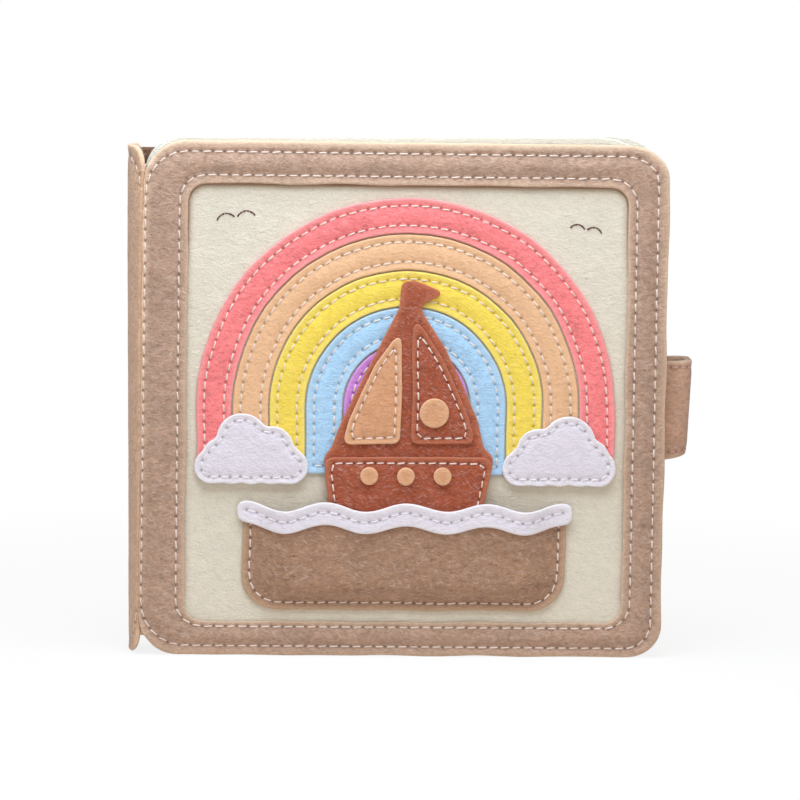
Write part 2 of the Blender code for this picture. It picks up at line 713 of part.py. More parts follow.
def add_boat():
    """Make the loose boat: a back layer with the whole outline, and a face of hull, sails and discs."""
    hull = boat_points(HULL_SHARES, BOAT_LENGTH, BOAT_DECK, HULL_HEIGHT)
    rig = boat_points(RIG_SHARES, BOAT_LENGTH, BOAT_DECK, RIG_HEIGHT)
    outline = rounded_corners(hull[:4] + rig + hull[4:], BOAT_CORNER)
    upright_felt("boat_back", [outline], BOAT_BACK_FRONT, PATCH_FELT, "boat_axis", RUST)
    face = rounded_corners(hull, BOAT_CORNER)
    upright_felt("boat_hull", [face], BOAT_FACE_FRONT, PATCH_FELT, "boat_axis", RUST)
    sails = (
        ("boat_mainsail", MAINSAIL_SIZE_SHARES, 1, RUST),
        ("boat_jib", JIB_SIZE_SHARES, -1, TAN),
    )
    for name, size_shares, side, colour in sails:
        foot = side * size_shares[0] * BOAT_LENGTH
        start = PICTURE_X + side * MAST_WIDTH / 2
        height = size_shares[1] * RIG_HEIGHT
        sail = [(start + x * foot, SAIL_BASE + z * height) for x, z in MAINSAIL_SHARES]
        outline = rounded_corners(sail, SAIL_CORNER)
        upright_felt(name, [outline], BOAT_FACE_FRONT, PATCH_FELT, "boat_axis", colour)
    add_boat_discs()


def add_boat_discs():
    """Make the disc on the main sail and the row of portholes on the hull."""
    foot = MAINSAIL_SIZE_SHARES[0] * BOAT_LENGTH
    centre = (PICTURE_X + MAST_WIDTH / 2 + SAIL_DISC_RADIUS + SAIL_MARGIN, SAIL_BASE + foot / 2)
    disc = disc_outline(centre, SAIL_DISC_RADIUS)
    upright_felt("boat_sail_disc", [disc], BOAT_TRIM_FRONT, PATCH_FELT, "boat_axis", TAN)
    for number in range(PORTHOLE_COUNT):
        across = PICTURE_X + (number - (PORTHOLE_COUNT - 1) / 2) * PORTHOLE_PITCH
        porthole = disc_outline((across, BOAT_DECK - PORTHOLE_DROP), PORTHOLE_RADIUS)
        name = f"boat_porthole_{number + 1}"
        upright_felt(name, [porthole], BOAT_TRIM_FRONT, PATCH_FELT, "boat_axis", TAN)


def disc_outline(centre, radius):
    """Return the outline of a disc."""
    return arc(centre, radius, 0, 360 - 360 / DISC_STEPS, DISC_STEPS - 1)


FRAMES = {}
PLACES = {}
clear_scene()
BOOK = collection("felt_quiet_book")
CUTTERS = collection("cutters")
add_frames()
add_covers()
add_spine()
add_leaves()
add_strap()
add_rainbow()
add_clouds()
add_pocket()
add_boat()
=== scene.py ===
"""The looks of the felt quiet book: soft felts, sewn seams, thread, light and camera.

Every felt is cut flat, as an outline in its own coordinates (u across, v up), with its height h above the
felt's outer face. It is then laid in its place: flat on a cover, bent round the spine or round the strap.
Lengths are in metres.
"""

import random
from math import ceil, cos, hypot, pi, radians, sin

import bpy
import numpy as np
from mathutils import Matrix, Vector, noise
from mathutils.geometry import delaunay_2d_cdt
from mathutils.kdtree import KDTree


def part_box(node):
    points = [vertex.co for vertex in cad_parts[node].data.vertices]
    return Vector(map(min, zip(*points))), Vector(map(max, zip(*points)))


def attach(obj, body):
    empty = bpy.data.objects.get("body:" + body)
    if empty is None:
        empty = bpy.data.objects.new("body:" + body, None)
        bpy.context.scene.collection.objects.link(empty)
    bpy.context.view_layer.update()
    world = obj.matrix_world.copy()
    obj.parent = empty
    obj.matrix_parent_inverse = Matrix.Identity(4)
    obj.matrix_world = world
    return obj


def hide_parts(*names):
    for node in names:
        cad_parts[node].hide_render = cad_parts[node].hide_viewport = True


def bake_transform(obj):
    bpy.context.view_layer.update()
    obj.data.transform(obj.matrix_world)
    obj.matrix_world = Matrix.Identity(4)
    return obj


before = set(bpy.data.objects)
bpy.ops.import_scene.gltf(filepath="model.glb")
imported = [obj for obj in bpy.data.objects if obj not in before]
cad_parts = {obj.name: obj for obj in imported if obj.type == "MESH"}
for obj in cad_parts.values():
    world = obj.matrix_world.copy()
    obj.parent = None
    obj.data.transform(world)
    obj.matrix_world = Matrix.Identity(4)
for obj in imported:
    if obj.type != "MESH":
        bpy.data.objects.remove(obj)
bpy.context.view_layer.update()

# Camera, as fitted to the cover's edges in the photograph
CAMERA_AZIMUTH = -3.43
CAMERA_ELEVATION = 6.27
CAMERA_ROLL = 0.90
CAMERA_DISTANCE = 2.0
CAMERA_TARGET = (-0.0036, 0.0, 0.0975)
CAMERA_SENSOR = 36.0
IMAGE_SIZE = 800
METRES_PER_PIXEL = 0.0003837

# How finely felts are cut and filled
EDGE_STEP = 0.0008
EDGE_ROUNDS = 3
CORNER_STEPS = 14
FELT_STEP = 0.0020
FINE_STEP = 0.0014
LEAF_STEP = 0.0040
BACK_STEP = 0.0060
BENT_BACK_STEP = 0.0022
ROW_SHARE = 0.866
GRID_STRAY = 0.12
EDGE_CLEAR_SHARE = 0.6
EDGE_CLEAR = 0.0003
SEAM_CLEAR = 0.0009
POINT_SPACING = 0.00028
INSIDE_BATCH = 4000

# Felts' edges. A roll is how far the rolled edge reaches in and how deep it falls.
EDGE_ROLL = (0.00045, 0.00045)
PATCH_ROLL = (0.0006, 0.0005)
BACK_ROLL = 0.0003
ROLL_STEPS = 6
# The edge colour, partly painted highlight: how wide it runs from an edge, and how much reaches a felt's
# border
RIM_WIDTH = 0.0011
BORDER_SHARE = 0.22
CUT_WOBBLE = 0.00022
SEAM_WOBBLE = 0.00022
WOBBLE_SCALE = 55
WOBBLE_SHIFT = 9

# Felts' waves: how high they are, and how closely they follow each other
FELT_WAVE = 0.00012
COVER_WAVE = 0.00025
PANEL_WAVE = 0.00010
PATCH_WAVE = 0.00014
WAVE_SCALE = 45
FINE_WAVE_SCALE = 190
FINE_WAVE_SHARE = 0.35
WAVE_SHIFT = 0.7

# Seams. A stitch's shape is a share of the way between its holes, and a rise in thread lifts.
STITCH_PITCH = 0.0044
STITCH_SLANT = 0.07
SLANT_SPREAD = 0.06
STITCH_SHAPE = (
    (0.13, -2.6), (0.18, -1.1), (0.26, 0.4), (0.50, 1.0), (0.74, 0.4), (0.82, -1.1), (0.87, -2.6),
)
THREAD_SIDES = 6
THREAD_RADIUS = 0.00029
FINE_THREAD = 0.00024
THREAD_SPREAD = (0.85, 1.1)
THREAD_FLATNESS = 0.75
THREAD_LIFT = 0.00017
THREAD_SEAT = 0.00010
THREAD_SINK = 0.00022
SEAM_GROOVE = 0.00042
SEAM_WIDTH = 0.0013
SEAM_KEPT_SHARE = 0.985
HOLE_DEPTH = 0.00042
HOLE_RADIUS = 0.00047
HOLE_RINGS = ((1.0, 6), (2.2, 9))

# Front cover
COVER_CORNER = 0.0125
COVER_SEAM_INSET = 0.0034
COVER_GROOVE = 0.0012
COVER_GROOVE_WIDTH = 0.0023
FRAME_ROLL = (0.0030, 0.0018)
FRAME_FOOT_ROLL = (0.0014, 0.0010)
FRAME_CREASE_ROLL = (0.0003, 0.0003)
FRAME_WINDOW_ROLL = (0.0007, 0.0010)
FRAME_ROLL_START = 0.0004
FRAME_ROLL_GROWTH = 0.0030
FRAME_SEAM_LEFT_INSET = 0.0001
FRAME_SEAM_RIGHT_INSET = 0.0042
FRAME_SEAM_CORNERS = (0.0095, (0.0130, 0.0090), 0.0160, 0.0168)
FRAME_CORNERS = {"left": (0.0145, 0.0168), "right": (0.0125, (0.0170, 0.0125))}
FRAME_TOP_RISE = 0.0010
# Painted highlight on the front cover's edge, partly its cut edge's own colour: its share at the foot and at
# the top
FRAME_EDGE_HIGHLIGHT_SHARES = (0.5, 1.0)
FRAME_BORDER = 0.0032
LINING_SEAM_INSET = 0.0026
LINING_ROUNDS = 2

# Window in the front cover
WINDOW_WIDTH_LIMIT = 0.18
WINDOW_GROOVE = 0.0009
WINDOW_RIM_SHARE = 0.45
# Painted shadow on the panel along the window's edge: its share at the sides, and how far below the top it
# is full
WINDOW_PAINTED_SHADOW_SHARE = 0.35
WINDOW_PAINTED_SHADOW_REACH = 1.5
WINDOW_SEAM_SIDE = 0.0033
WINDOW_SEAM_FLOOR = 0.0020
WINDOW_SEAM_CORNER = 0.0098
WINDOW_RINGS = (-0.0011, -0.0007, -0.0003, 0.0001)

# Back cover
BACK_CORNERS = {"left": (0.0125, (0.0190, 0.0175))}

# Creases, and the lining that shows in the notch at the spine's top, darkened as painted shade
CREASE_X = -0.10235
CREASE_RADIUS = 0.001
CREASE_OVERLAP = 0.0004
CREASE_FELT = 0.0004
CREASE_FOOT = 0.0072
CREASE_TOP_GAP = 0.0006
CREASE_START = 0.0022
CREASE_COURSE = ((-0.0008, 0.0012), (0.0, 0.0011), (0.0010, 0.0010), (0.0024, 0.0009))
HINGE_FELT = 0.0006
HINGE_TOP_DROP = 0.0032
HINGE_REACH = 0.0048
HINGE_LAP = 0.0011
HINGE_HEIGHT = 0.0065

# Leaves
LEAF_CORNER = 0.0130
LEAF_SEAM_INSET = 0.0060
LEAF_TILT = 0.55
LEAF_TILT_SHARES = (0.75, 0.22)
LEAF_ROOT_CORNER = 0.0155
LEAF_FORE_CORNER = (0.0200, 0.0150)
LEAF_ROOT_INSET = 0.0036
LEAF_FORE_REACHES = {1: 0.0, 2: 0.0058, 3: 0.0052}
LEAF_WAVE = 0.0004
LEAF_WAVE_SCALE = 38
LEAF_WAVE_SHIFT = 1.7
LEAF_WAVE_START = 0.05

# Spine
SPINE_TOP_CORNER = (0.0042, 0.0085)
SPINE_FOOT_CORNER = (0.0032, 0.0080)
SPINE_SIDE_GAP = 0.0004
SPINE_SEAM_SIDE = 0.0012
SPINE_SEAM_CORNER = (0.0080, 0.0110)
SPINE_SEAM_INSET = 0.0040
SPINE_ROLL = (0.0009, 0.0009)
SPINE_WAVE = 0.00018
SPINE_ARCH = 0.0050
SPINE_TOP_DROP = 0.0015
SPINE_FOOT_RISE = 0.0014
SPINE_FOOT_DROOP = 0.0012
SPINE_DROOP_HEIGHT = 0.020
SPINE_BULGE_SHARES = (0.70, 1.12)
# The spine's pale edge colour, partly painted highlight: its share at the sides, and how it grows towards
# the ends
SPINE_RIM_SHARE = 0.15
SPINE_RIM_REACH = 1.3
SPINE_RIM_HEIGHT = 0.0110
SPINE_LINING_FELT = 0.0016
SPINE_LINING_CORNER = 0.0030
SPINE_LINING_RISE = 0.0005
SPINE_LINING_DROP = 0.0014
LAYER_GAP = 0.0003

# Strap
STRAP_BEND = 0.0040
STRAP_BEND_STEPS = 12
STRAP_STEP = 0.0005
STRAP_FELT = 0.0010
STRAP_LEAN = 0.045
STRAP_FOLD_CORNER = 0.0026
STRAP_FOOT_SLOPE = 0.0012
STRAP_CORNER = 0.0020
STRAP_SEAM_INSET = 0.0026
STRAP_PITCH = 0.0034
STRAP_ROLL = (0.0012, 0.0006)
STRAP_WAVE = 0.00008
FASTENER_ROLL = (0.0002, 0.0002)

# Patches
PATCH_SEAM_INSET = 0.0029
CLOUD_SEAM_INSET = 0.0025
PATCH_PITCH = 0.0040
BOAT_PATCHES = {
    "boat_back": ("rust_felt", 0),
    "boat_hull": ("rust_felt", 0.0024),
    "boat_mainsail": ("rust_felt", 0.0022),
    "boat_jib": ("tan_felt", 0.0022),
    "boat_sail_disc": ("tan_felt", 0),
    "boat_porthole_1": ("tan_felt", 0),
    "boat_porthole_2": ("tan_felt", 0),
    "boat_porthole_3": ("tan_felt", 0),
}

# Pocket
POCKET_FELT = 0.0012
POCKET_CORNER = 0.0140
POCKET_SEAM = 0.0035
POCKET_RAMP = 0.0060
POCKET_SIDE_RAMP = 0.0140
POCKET_PITCH = 0.0042
POCKET_WAVE = 0.00016
POCKET_STEP = 0.0018
POCKET_SEAM_DROP = 0.0050
RIM_STEPS = 60
RIM_WAVE_HEIGHT = 0.0020
RIM_WAVE_COUNT = 4
BAND_STEPS = 80
BAND_ROUNDS = 24
BAND_STEP = 0.0016
BAND_ROLL = (0.0007, 0.0006)
BAND_SEAM_REACH = 0.94
BAND_SEAM_SHARE = 0.46

# Birds: each one's place beside the window's middle, its wings' span and its tilt in degrees
BIRDS = ((-0.0655, 0.0690, 0.0075, 8), (0.0675, 0.0660, 0.0062, -10))
BIRD_WINGS = {"left": (-1, 155, 35), "right": (1, 145, 25)}
BIRD_ARC_SHARE = 1.9
BIRD_ARC_STEPS = 10
BIRD_PITCH = 0.0028
BIRD_THREAD = 0.00034
BIRD_REACH = 1.5

# Light: each lamp's place, size, power and colour
SKY_STRENGTH = 0.335
SKY_COLOUR = (1.0, 0.90, 0.80, 1.0)
LAMPS = {
    "top": ((-0.04, -0.19, 0.54), 0.45, 3.2, (0.91, 1.0, 1.09)),
    "bounce": ((0.12, -0.85, 0.06), 0.8, 1.30, (1.0, 0.79, 0.62)),
}
WHITE = (1, 1, 1, 1)
FLOOR_SIZE = 6.0
FLOOR_DEPTH = -0.0002
FLOOR_SEEN = (0.9, 0.9, 0.9, 1)
FLOOR_GLOW = (0.76, 0.70, 0.64, 1)
FLOOR_WHITE_SHARE = 0.86
FLOOR_WHITE_REACH = (0.15, 0.45)

# Felts: each one's screen colour, its edge colour where that stands out, and how mottled it is. The edge
# colour is partly the cut edge's own paler tone and partly a painted highlight; the cream panel's is a
# painted shadow.
FELTS = {
    "taupe_felt": ((185, 154, 135), (250, 222, 192), 1.1),
    "spine_felt": ((223, 185, 156), (240, 208, 178), 0.9),
    # The strap is the taupe felt, painted lighter against the cover's shadow on it
    "painted_light_strap_felt": ((207, 167, 144), (226, 200, 176), 1.0),
    # The linings seen in the spine's notch: the taupe felt darkened as painted shade
    "lining_felt": ((118, 84, 66), None, 0.8),
    # The cream panel's edge colour is the brown of a painted shadow along the window's edge
    "cream_felt": ((231, 226, 211), (140, 88, 40), 0.32),
    "leaf_felt": ((232, 229, 212), (238, 236, 228), 0.25),
    "pink_felt": ((255, 138, 141), (255, 170, 172), 0.8),
    "peach_felt": ((241, 195, 154), (246, 200, 156), 0.45),
    "yellow_felt": ((251, 225, 96), (252, 232, 130), 0.4),
    "blue_felt": ((178, 220, 255), (190, 222, 248), 0.6),
    "purple_felt": ((212, 139, 234), (222, 160, 232), 0.9),
    "white_felt": ((233, 229, 243), (244, 242, 248), 0.30),
    "rust_felt": ((170, 90, 64), (196, 120, 90), 1.1),
    "tan_felt": ((220, 165, 126), (236, 188, 150), 0.5),
    "pocket_felt": ((173, 138, 114), (206, 174, 146), 1.1),
    "hook_and_loop": ((226, 216, 196), None, 1.2),
}
THREADS = {
    "thread_white": (236, 222, 214),
    "thread_pale": (240, 235, 243),
    "thread_brown": (92, 58, 50),
    "thread_taupe": (210, 172, 156),
}
WHITE_LEVEL = 255

# Felts' fibres. A noise is its scale, detail, roughness and distortion.
CLOUD_NOISE = (90.0, 3.0, 0.55, 0.4)
TUFT_NOISE = (420.0, 4.0, 0.62, 1.1)
GRAIN_NOISE = (1500.0, 3.0, 0.65, 0.6)
SPECK_NOISE = (620.0, 2.0, 0.5, 0.5)
STRAND_NOISE = (1700.0, 2.0, 0.6, 0.3)
BEND_NOISE = (170.0, 2.0, 0.5, 0.0)
PLY_NOISE = (3800.0, 2.0, 0.5, 0.2)
GRAIN_STRETCH = (1.8, 1.0, 1.0)
FIBRE_TURNS = (6, -23, 40)
FIBRE_STRETCH = (6.0, 2.0, 1.0)
FIBRE_SHIFT = (0.37, 0.11, 0)
FIBRE_BEND = 0.004
CLOUD_SWING = 0.40
TUFT_SWING = 0.80
GRAIN_SWING = 0.60
LIGHT_FIBRES = ((0.59, 0.73), 0.42)
DARK_FIBRES = ((0.41, 0.28), 0.40)
SPECKS = ((0.40, 0.27), 0.40)
LIGHT_FIBRE_PALER = 0.45
DARK_FIBRE_LOOK = (1.25, 0.50)
SPECK_LOOK = (1.3, 0.42)
CUT_LOOK = (1.2, 1.06)
RIM_SHARE = 0.8
# Painted shade in needle holes: the share of the felt's colour left there
HOLE_PAINTED_SHADE = 0.40
TUFT_HEIGHT = 1.6
FIBRE_HEIGHT = 1.2
FELT_BUMP = (0.6, 0.0005)
FELT_SURFACE = {"Roughness": 0.92, "Specular IOR Level": 0.15, "Sheen Weight": 0.35, "Sheen Roughness": 0.45}
PLY_TONES = (0.3, 0.85)
THREAD_BUMP = (0.4, 0.0001)
THREAD_SURFACE = {"Roughness": 0.6, "Sheen Weight": 0.2}

RANDOM_SEED = 20260
SEEDS = iter(range(1, 1000))


def screen(red, green, blue):
    """Return a screen colour as linear light."""
    linear = []
    for channel in (red, green, blue):
        value = channel / WHITE_LEVEL
        linear.append(value / 12.92 if value <= 0.04045 else ((value + 0.055) / 1.055) ** 2.4)
    return (*linear, 1.0)


def node_input(tree, node, name, value):
    """Set a socket, or link another node's output to it."""
    if isinstance(value, bpy.types.NodeSocket):
        tree.links.new(value, node.inputs[name])
    else:
        node.inputs[name].default_value = value


def add_node(tree, kind, settings=(), **inputs):
    """Add a node with its settings and inputs. An input's name has _ for each blank."""
    node = tree.nodes.new(kind)
    for name, value in dict(settings).items():
        setattr(node, name, value)
    for name, value in inputs.items():
        node_input(tree, node, name.replace("_", " "), value)
    return node


def math_node(tree, operation, first, second=0.0):
    """Add a Math node and return its output."""
    node = add_node(tree, "ShaderNodeMath", {"operation": operation})
    node_input(tree, node, 0, first)
    node_input(tree, node, 1, second)
    return node.outputs[0]


def vector_node(tree, operation, first, second=None, scale=None):
    """Add a Vector Math node and return its output."""
    node = add_node(tree, "ShaderNodeVectorMath", {"operation": operation})
    for name, value in ((0, first), (1, second), ("Scale", scale)):
        if value is not None:
            node_input(tree, node, name, value)
    return node.outputs["Value" if operation == "LENGTH" else "Vector"]


def noise_value(tree, vector, settings, output="Fac"):
    """Add a noise texture with its scale, detail, roughness and distortion, and return its value."""
    names = ("Scale", "Detail", "Roughness", "Distortion")
    return add_node(tree, "ShaderNodeTexNoise", Vector=vector, **dict(zip(names, settings))).outputs[output]


def stretched(tree, value, low, high):
    """Return a value spread from LOW..HIGH to 0..1."""
    node = add_node(tree, "ShaderNodeMapRange", {"clamp": True}, Value=value, From_Min=low, From_Max=high)
    return node.outputs["Result"]


def turned(tree, vector, **inputs):
    """Return coordinates that are stretched, turned or moved as a texture is."""
    node = add_node(tree, "ShaderNodeMapping", {"vector_type": "TEXTURE"}, Vector=vector, **inputs)
    return node.outputs[0]


def fibre_fields(tree, place):
    """Return two fields of short curved fibres in three directions: how light and how dark each place is."""
    bend = vector_node(tree, "SUBTRACT", noise_value(tree, place, BEND_NOISE, "Color"), (0.5, 0.5, 0.5))
    curved = vector_node(tree, "ADD", place, vector_node(tree, "SCALE", bend, scale=FIBRE_BEND))
    light = dark = None
    for number, turn in enumerate(FIBRE_TURNS):
        shift = [number * share for share in FIBRE_SHIFT]
        along = turned(tree, curved, Rotation=(0, radians(turn), 0), Location=shift, Scale=FIBRE_STRETCH)
        strands = noise_value(tree, along, STRAND_NOISE)
        light = math_node(tree, "MAXIMUM", light, strands) if number else strands
        dark = math_node(tree, "MINIMUM", dark, strands) if number else strands
    return light, dark


def swing_of(tree, value, amount):
    """Return how far a value in 0..1 swings about its middle, times an amount."""
    return math_node(tree, "MULTIPLY", math_node(tree, "SUBTRACT", value, 0.5), amount)


def mixed(tree, share, first, second):
    """Mix two colours by a share."""
    node = add_node(tree, "ShaderNodeMix", {"data_type": "RGBA"})
    for number, value in ((0, share), (6, first), (7, second)):
        node_input(tree, node, number, value)
    return node.outputs[2]


def toned(colour, factor):
    """Return a colour made darker or lighter."""
    return (*(min(channel * factor, 1) for channel in colour[:3]), 1)


def paler(colour, share):
    """Return a colour mixed with white."""
    return (*(channel + (1 - channel) * share for channel in colour[:3]), 1)


def deeper(colour, power):
    """Return a colour with more saturation and about the same lightness."""
    strong = [channel**power for channel in colour[:3]]
    scale = max(colour[:3]) / max(strong)
    return (*(channel * scale for channel in strong), 1)


def new_material(name):
    """Make a material, and return it with its nodes, its shader and the object's own coordinates."""
    material = bpy.data.materials.new(name)
    material.use_nodes = True
    tree = material.node_tree
    place = add_node(tree, "ShaderNodeTexCoord").outputs["Object"]
    return material, tree, tree.nodes["Principled BSDF"], place


def surfaced(tree, shader, look, height, bump, surface):
    """Give a shader its colour, its bump, which has a strength and a distance, and its fixed values."""
    strength, distance = bump
    raised = add_node(tree, "ShaderNodeBump", Strength=strength, Distance=distance, Height=height)
    tree.links.new(look, shader.inputs["Base Color"])
    tree.links.new(raised.outputs[0], shader.inputs["Normal"])
    for name, value in surface.items():
        shader.inputs[name].default_value = value


def stored(tree, name):
    """Return a value that is stored on the mesh's points."""
    return add_node(tree, "ShaderNodeAttribute", {"attribute_name": name}).outputs["Fac"]


def felt_material(name, colour, cut, contrast):
    """Make a pressed wool felt: clouds, tufts, curled light and dark fibres, needle holes darkened by
    painted shade, an edge colour that is partly painted highlight, a soft sheen.
    """
    material, tree, shader, place = new_material(name)
    colour = screen(*colour)
    # The edge colour: partly the cut edge's own tone, partly painted highlight, and on the cream panel
    # painted shadow
    power, factor = CUT_LOOK
    cut = screen(*cut) if cut else toned(deeper(colour, power), factor)
    lengthwise = turned(tree, place, Scale=GRAIN_STRETCH)
    kinds = (CLOUD_NOISE, TUFT_NOISE, GRAIN_NOISE, SPECK_NOISE)
    clouds, tufts, grain, specks = (noise_value(tree, lengthwise, kind) for kind in kinds)
    light, dark = fibre_fields(tree, place)
    tone = 1.0
    for field, swing in ((clouds, CLOUD_SWING), (tufts, TUFT_SWING), (grain, GRAIN_SWING)):
        tone = math_node(tree, "ADD", swing_of(tree, field, swing * contrast), tone)
    look = vector_node(tree, "SCALE", colour[:3], scale=tone)
    layers = [(light, LIGHT_FIBRES, paler(colour, LIGHT_FIBRE_PALER))]
    for field, kind, (power, factor) in ((dark, DARK_FIBRES, DARK_FIBRE_LOOK), (specks, SPECKS, SPECK_LOOK)):
        layers.append((field, kind, toned(deeper(colour, power), factor)))
    for field, (ends, share), shade in layers:
        level = math_node(tree, "MULTIPLY", stretched(tree, field, *ends), share * contrast)
        look = mixed(tree, level, look, shade)
    # Edge colour, partly painted highlight, and painted shadow on the panel's window edge
    look = mixed(tree, math_node(tree, "MULTIPLY", stored(tree, "rim"), RIM_SHARE), look, cut)
    # Painted shade in the needle holes
    look = mixed(tree, stored(tree, "hole"), look, toned(colour, HOLE_PAINTED_SHADE))
    height = math_node(tree, "ADD", math_node(tree, "MULTIPLY", tufts, TUFT_HEIGHT), grain)
    height = math_node(tree, "ADD", height, math_node(tree, "MULTIPLY", light, FIBRE_HEIGHT))
    surfaced(tree, shader, look, height, FELT_BUMP, FELT_SURFACE)
    return material


def thread_material(name, colour):
    """Make a twisted cotton thread."""
    material, tree, shader, place = new_material(name)
    ply = noise_value(tree, place, PLY_NOISE)
    swing, middle = PLY_TONES
    tone = math_node(tree, "ADD", math_node(tree, "MULTIPLY", ply, swing), middle)
    look = vector_node(tree, "SCALE", screen(*colour)[:3], scale=tone)
    surfaced(tree, shader, look, ply, THREAD_BUMP, THREAD_SURFACE)
    return material


def arc_points(centre, radius, start, end, steps):
    """Return points of an arc between two angles in degrees. The radius is one number, or across and up."""
    across, up = np.broadcast_to(radius, 2)
    angles = np.radians(np.linspace(start, end, steps + 1))
    return np.column_stack((centre[0] + across * np.cos(angles), centre[1] + up * np.sin(angles)))


def rounded_box(left, right, bottom, top, radii):
    """Return a rectangle's outline with round corners, anticlockwise from the bottom right one."""
    if isinstance(radii, float):
        radii = (radii,) * 4
    arcs = []
    corners = ((right, bottom), (right, top), (left, top), (left, bottom))
    for number, (radius, (x, z)) in enumerate(zip(radii, corners)):
        across, up = np.broadcast_to(radius, 2)
        centre = (x - across if x == right else x + across, z - up if z == top else z + up)
        start = 90 * number - 90
        arcs.append(arc_points(centre, radius, start, start + 90, CORNER_STEPS))
    return np.vstack(arcs)


def spaced(line, step, closed=True):
    """Return a line's points again, evenly spaced."""
    ends = np.vstack((line, line[:1])) if closed else line
    lengths = np.hypot(*np.diff(ends, axis=0).T)
    along = np.concatenate(([0], np.cumsum(lengths)))
    count = max(int(round(along[-1] / step)), 6)
    wanted = np.linspace(0, along[-1], count + 1)
    points = np.column_stack([np.interp(wanted, along, ends[:, axis]) for axis in (0, 1)])
    return points[:-1] if closed else points


def softened(loop, rounds):
    """Return a closed line with its corners rounded a little."""
    for _ in range(rounds):
        loop = 0.5 * loop + 0.25 * (np.roll(loop, 1, axis=0) + np.roll(loop, -1, axis=0))
    return loop


def inset(loop, distance):
    """Return a closed line moved towards the felt on its left, by one distance or by each point's own."""
    ahead = np.roll(loop, -1, axis=0) - np.roll(loop, 1, axis=0)
    ahead /= np.maximum(np.hypot(*ahead.T), 1e-9)[:, None]
    return loop + np.reshape(distance, (-1, 1)) * np.column_stack((-ahead[:, 1], ahead[:, 0]))


def tree_of(points):
    """Return a search tree over flat points."""
    tree = KDTree(len(points))
    for number, (across, up) in enumerate(points):
        tree.insert((across, up, 0), number)
    tree.balance()
    return tree


def distances(tree, points):
    """Return each point's distance to the nearest point in a tree."""
    return np.array([tree.find((across, up, 0))[2] for across, up in points])


def wobbled(line, amount):
    """Return a line that strays a little, as cut and sewn by hand."""
    shift = []
    for across, up in line * WOBBLE_SCALE:
        shift.append([noise.noise((across, up, level)) for level in (0, WOBBLE_SHIFT)])
    return line + 2 * amount * np.array(shift)


def seam_line(loop, distance):
    """Return the line that keeps a distance inside a closed outline."""
    fine = spaced(loop, EDGE_STEP / 2)
    moved = inset(fine, distance)
    near = distances(tree_of(fine), moved)
    return spaced(moved[near > distance * SEAM_KEPT_SHARE], EDGE_STEP / 2)


def contains(loops, points):
    """Return which points lie inside an outline with holes."""
    found = np.zeros(len(points), int)
    for start in loops:
        end = np.roll(start, -1, axis=0)
        rise = np.where(end[:, 1] == start[:, 1], 1e-12, end[:, 1] - start[:, 1])
        for first in range(0, len(points), INSIDE_BATCH):
            part = points[first:first + INSIDE_BATCH]
            level = part[:, 1][:, None]
            crossing = (start[:, 1] > level) != (end[:, 1] > level)
            at = start[:, 0] + (level - start[:, 1]) * (end[:, 0] - start[:, 0]) / rise
            found[first:first + INSIDE_BATCH] += (crossing & (part[:, 0][:, None] < at)).sum(1)
    return found % 2 == 1


def clear_of(points, others, gap):
    """Return the points that lie farther than a gap from all others."""
    return points[distances(tree_of(others), points) > gap] if len(points) and len(others) else points


def filled(loops, step, extra, draw):
    """Return points and triangles that fill an outline with holes, with extra points among them."""
    ring = np.vstack(loops)
    low = ring.min(0)
    high = ring.max(0)
    rows = int(ceil((high[1] - low[1]) / (step * ROW_SHARE))) + 1
    columns = int(ceil((high[0] - low[0]) / step)) + 1
    grid = np.array([
        (low[0] + (column + 0.5 * (row % 2)) * step, low[1] + row * step * ROW_SHARE)
        for row in range(rows)
        for column in range(columns)
    ])
    grid += draw.uniform(-GRID_STRAY, GRID_STRAY, grid.shape) * step
    grid = clear_of(grid[contains(loops, grid)], ring, EDGE_CLEAR_SHARE * min(step, 4 * EDGE_STEP))
    if len(extra):
        extra = clear_of(extra[contains(loops, extra)], ring, EDGE_CLEAR)
    grid = clear_of(grid, extra, SEAM_CLEAR)
    points = np.vstack([ring] + [part for part in (extra, grid) if len(part)])
    edges = []
    start = 0
    for loop in loops:
        count = len(loop)
        edges += [(start + number, start + (number + 1) % count) for number in range(count)]
        start += count
    vectors = [Vector((float(across), float(up))) for across, up in points]
    _, _, faces, originals, _, _ = delaunay_2d_cdt(vectors, edges, [], 0, 1e-9)
    first = [source[0] if source else -1 for source in originals]
    triangles = np.array([[first[corner] for corner in face] for face in faces])
    middles = points[triangles].mean(1)
    return points, triangles[contains(loops, middles)]


def felt_waves(points, height, seed):
    """Return how far a felt's face waves at each point."""
    shift = WAVE_SHIFT * seed
    wide = [noise.noise((across + shift, up, shift)) for across, up in points * WAVE_SCALE]
    fine = [noise.noise((across, up + shift, shift)) for across, up in points * FINE_WAVE_SCALE]
    return height * (np.array(wide) + FINE_WAVE_SHARE * np.array(fine))


class Seam:
    """A running stitch along a line on a felt."""

    def __init__(self, line, closed=True, pitch=STITCH_PITCH, thread="thread_white", radius=THREAD_RADIUS,
                 groove=SEAM_GROOVE, width=SEAM_WIDTH, reach=1.0):
        line = wobbled(line, SEAM_WOBBLE)
        lengths = np.hypot(*np.diff(np.vstack((line, line[:1])) if closed else line, axis=0).T)
        count = max(int(round(lengths.sum() / pitch)), 2)
        self.holes = spaced(line, lengths.sum() / count, closed)
        self.line = spaced(line, EDGE_STEP / 2, closed)
        self.closed = closed
        self.thread = thread
        self.radius = radius
        self.groove = groove * radius / THREAD_RADIUS
        self.width = width
        self.reach = reach

    def stitches(self):
        """Return the pairs of holes that the stitches join."""
        ends = np.roll(self.holes, -1, axis=0) if self.closed else self.holes[1:]
        return list(zip(self.holes, ends))


